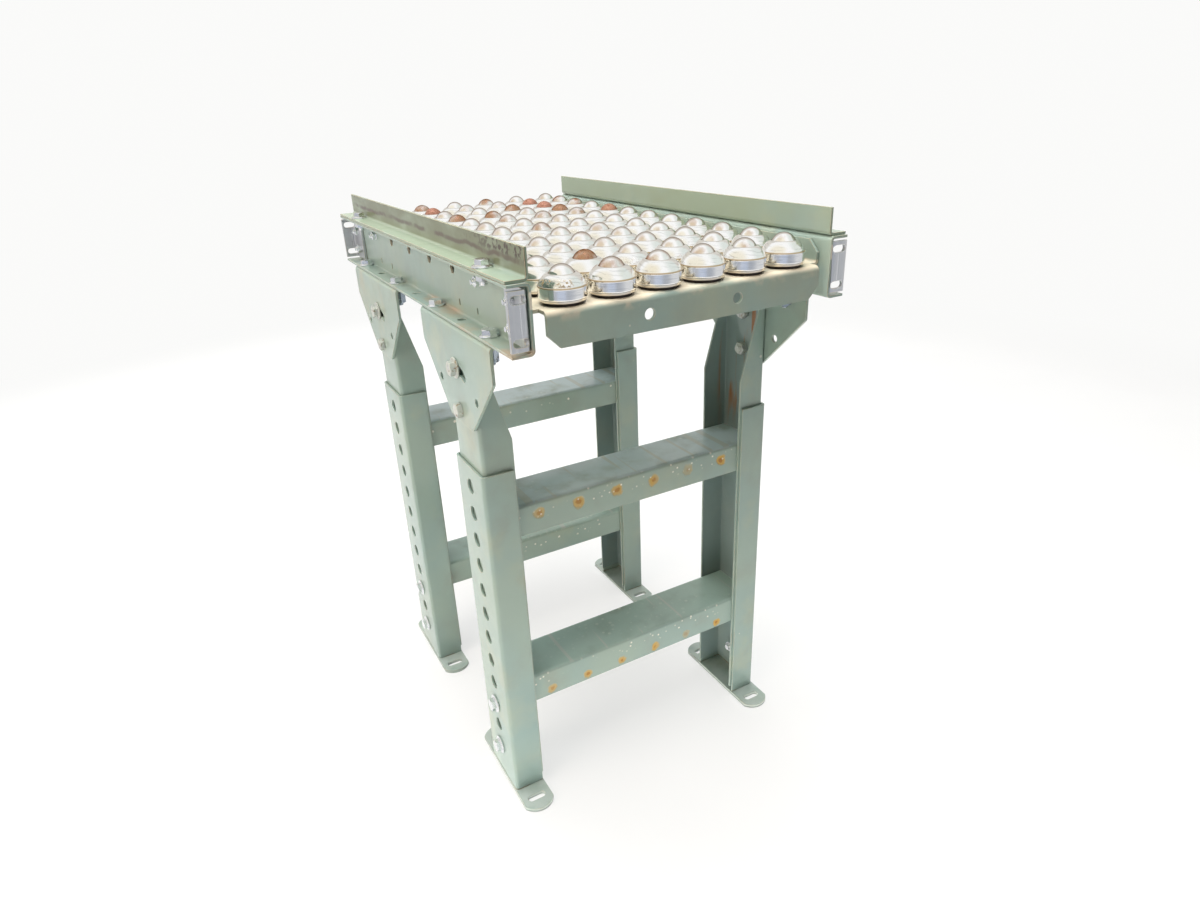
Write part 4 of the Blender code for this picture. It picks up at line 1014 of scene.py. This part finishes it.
# Each level's top film, as a colour and an amount: dust, and a painted reflection of pale light, bluest on
# the upper brace.
BRACE_DUST_AND_REFLECTION = {"upper": ((0.66, 0.80, 0.87), 0.95), "lower": ((0.44, 0.60, 0.54), 0.85)}
BRACE_SPOTS = {"upper": (0.0254, 0.016, 0.0088), "lower": (0.0244, 0.0295, 0.0074)}
for level_name, top in BRACE_TOPS.items():
    shift, drop, size = BRACE_SPOTS[level_name]
    paint = enamel(f"brace_{level_name}_enamel", 0.35, 0.09)
    turn = paint.sum("DIVIDE", paint.sum("SUBTRACT", paint.along("X"), shift), PITCH)
    near = paint.sum("MULTIPLY", paint.sum("SUBTRACT", turn, paint.sum("ROUND", turn)), PITCH)
    up = paint.sum("SUBTRACT", paint.along("Z"), top - drop)
    span = paint.sum("SQRT", paint.sum("ADD", paint.times(near, near), paint.times(up, up)))
    rag = paint.times(paint.sum("SUBTRACT", paint.noise(120, 4, shift=1.7), 0.5), 0.009)
    ragged = paint.sum("ADD", span, rag)
    front = paint.step(paint.along("Y"), -0.183, -0.185)
    inside = paint.step(paint.aside("X"), 0.15, 0.145)
    spot = paint.times(paint.step(ragged, size, 0.55 * size), front, inside)
    strong = paint.clouds(0.36, 0.56, 17, 0, (1, 0, 0), 5.5)
    strong = paint.sum("MULTIPLY_ADD", strong, 0.6, 0.3)
    paint.lay((spot, strong), (0.52, 0.30, 0.02), 0.6)
    core = paint.times(paint.step(ragged, 0.42 * size, 0.2 * size), front, inside)
    paint.lay((core, strong), (0.32, 0.13, 0.01), 0.75)
    paint.relief(spot, -0.0005)
    # Pale flakes round the top bend: chipped enamel, and a painted highlight along the bend.
    bend = paint.band(paint.along("Z"), top - 0.009, 0.006, 0.008)
    flakes_and_highlight = (paint.specks(150, 0.8, 0.45, 4.1), bend, paint.clouds(0.44, 0.54, 11, 3, shift=7.3))
    paint.lay(flakes_and_highlight, (0.80, 0.78, 0.68), 0.5)
    seam = (paint.step(paint.along("X"), 0.178, 0.1815), paint.clouds(0.42, 0.58, 90, 4, shift=2.0))
    paint.lay(seam, RUST, 0.75)
    # The top face: dust and a painted reflection laid in clouds, and pale scored lines.
    top_face = paint.step(paint.along("Z"), top - 0.0032, top - 0.0003)
    colour, amount = BRACE_DUST_AND_REFLECTION[level_name]
    paint.lay((top_face, paint.clouds(0.1, 0.55, 26, 5, shift=6.4), amount), colour, 0.45)
    scored = paint.clouds(0.6, 0.64, 75, 2, (1, 0.03, 1), 3.8)
    paint.lay((scored, top_face, 0.6), (0.56, 0.60, 0.55), 0.5)
    brace_finish = paint.done()
    for end, y_sign in ENDS.items():
        near, far = y_sign * SUPPORT_Y - BRACE_HALF, y_sign * SUPPORT_Y + BRACE_HALF
        corners = [(near, top - BRACE_FLANGE), (near, top), (far, top), (far, top - BRACE_FLANGE)]
        brace = folded(
            f"brace_{end}_{level_name}_channel", corners, LEG_GAUGE, -BRACE_REACH, BRACE_REACH, "X")
        eased(brace, brace_finish, leg_edge)
        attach(brace, f"{end}_support")
        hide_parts(f"brace_{end}_{level_name}")

# Legs
# Four channels that wrap the uprights, punched with a row of holes to set the
# height, each welded to a round-ended foot plate.
LEG_OUTER, LEG_FLANGE, LEG_HALF = 0.1914, 0.037, 0.0405
FOOT_X, FOOT_HALF, FOOT_REACH, FOOT_RISE, FOOT_THICK = 0.1729, 0.0193, 0.081, 0.0115, 0.0048
LEG_LOW, LEG_TOP = FOOT_THICK, 0.4498
LEG_HOLE, LEG_PITCH = 0.0175, 0.034
LEG_HOLES = CLAMP_HEIGHTS["lower"] + LEG_PITCH * np.arange(12)
FOOT_SLOT_OFF, FOOT_SLOT, FOOT_CUT = 0.061, (0.023, 0.009), 0.01
paint = enamel("leg_enamel", 0.25, 0.06)
cool = paint.clouds(0.46, 0.66, 8, 3, (1, 1, 0.4), 2.9)
paint.lay((cool, 0.5), (0.205, 0.31, 0.30))
joint = paint.step(paint.along("Z"), LEG_LOW + 0.0025, LEG_LOW + 0.001)
paint.lay((joint, paint.clouds(0.4, 0.6, 70, 5, shift=7.0)), (0.22, 0.19, 0.13), 0.6)
leg_finish = paint.done()
paint = enamel("foot_enamel", 0.12, 0.08)
paint.lay((paint.clouds(0.2, 0.6, 40, 4, shift=3.3), 0.85), (0.42, 0.48, 0.45))
foot_finish = paint.done()
swing = (FOOT_HALF ** 2 + FOOT_RISE ** 2) / (2 * FOOT_RISE)
angle = np.linspace(-1, 1, 25) * math.asin(FOOT_HALF / swing)
arc = np.column_stack((swing * np.sin(angle), FOOT_REACH - swing + swing * np.cos(angle)))
for end, side, y_sign, sign in POSTS:
    y, outer = y_sign * SUPPORT_Y, sign * LEG_OUTER
    corners = channel(outer - sign * LEG_FLANGE, outer, y - LEG_HALF, y + LEG_HALF)
    leg = folded(f"leg_{end}_{side}_channel", corners, LEG_GAUGE, LEG_LOW, LEG_TOP, "Z")
    holes = [round_hole(y, z, LEG_HOLE) for z in LEG_HOLES]
    punched(leg, holes, outer, SHEET_CUT, "X")
    ring = np.vstack((arc, -arc)) + (sign * FOOT_X, y)
    foot = outward(made_piece(f"foot_{end}_{side}_plate", *carried(ring, 0.0, FOOT_THICK, "Z")))
    slots = [slot_hole(sign * FOOT_X, y + off, *FOOT_SLOT) for off in (-FOOT_SLOT_OFF, FOOT_SLOT_OFF)]
    punched(foot, slots, 0.0, FOOT_CUT, "Z")
    for piece, finish in ((leg, leg_finish), (foot, foot_finish)):
        eased(piece, finish, leg_edge)
        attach(piece, f"{end}_{side}_leg")
        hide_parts(f"leg_{end}_{side}")

# Support bolts
# Pivot and lock bolts across the brackets and uprights, and flanged bolts that
# clamp each leg to its upright, with their nuts inside.
HEX_FLATS, HEAD_HEIGHT, CLAMP_HEAD = 0.0143, 0.006, 0.008
SHANK, SHANK_LENGTH, SEAT_GAP = 0.0095, 0.0075, 0.0003
SUPPORT_NUT = (HEX_FLATS, 0.0075, SHANK, 0.0107)
WASHER = 0.002
LOCK_WASHER = [(0.0109, 0), (0.01125, 0.0004), (0.01125, 0.0016), (0.0109, WASHER)]
CLAMP_WASHER = [(0.0111, 0), (0.0115, 0.0004), (0.0115, 0.0016), (0.0111, WASHER)]
steel = Finish("painted_bolt", (0.52, 0.55, 0.50), 0.36, 0.3)
steel.lay(steel.clouds(0.45, 0.62, 180, 4), (0.58, 0.60, 0.58), 0.3, 0.8)
steel.lay(steel.clouds(0.58, 0.68, 260, 4, shift=3.0), (0.32, 0.27, 0.19), 0.6)
steel.relief(steel.noise(500, 2), 0.00005)
painted_finish = steel.done()
for end, side, y_sign, sign in POSTS:
    y, out, back = y_sign * SUPPORT_Y, (sign, 0, 0), (-sign, 0, 0)
    nut_face = sign * (UPRIGHT_OUTER - LEG_GAUGE - SEAT_GAP)
    for kind, z, washer in (("pivot", PIVOT_Z, 0.0), ("lock", PIVOT_Z + ARC_RADIUS, WASHER)):
        face = sign * (BRACKET_OUTER + SEAT_GAP)
        spin = chance.uniform(0, 1)
        shapes = [stood(hex_bar(HEX_FLATS, HEAD_HEIGHT, spin=spin), (face + sign * washer, y, z), out),
                  stood(round_bar([(SHANK / 2, 0), (SHANK / 2, SHANK_LENGTH)]), (nut_face, y, z), out),
                  *nut(SUPPORT_NUT, spin, (nut_face, y, z), back)]
        if washer:
            shapes.append(stood(round_bar(LOCK_WASHER), (face, y, z), out))
        bolt = made_piece(f"{kind}_bolt_{end}_{side}_set", *joined(*shapes))
        bolts_done(bolt, painted_finish, f"{end}_support")
        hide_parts(f"{kind}_bolt_{end}_{side}")
    for level_name, z in CLAMP_HEIGHTS.items():
        face = sign * (LEG_OUTER + SEAT_GAP)
        spin = chance.uniform(0, 1)
        shapes = [stood(round_bar(CLAMP_WASHER), (face, y, z), out),
                  stood(hex_bar(HEX_FLATS, CLAMP_HEAD, spin=spin), (face, y, z), out),
                  *nut(SUPPORT_NUT, spin, (nut_face, y, z), back)]
        bolt = made_piece(f"clamp_bolt_{end}_{side}_{level_name}_set", *joined(*shapes))
        bolts_done(bolt, bolt_finish, f"{end}_support")
        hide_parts(f"clamp_bolt_{end}_{side}_{level_name}")
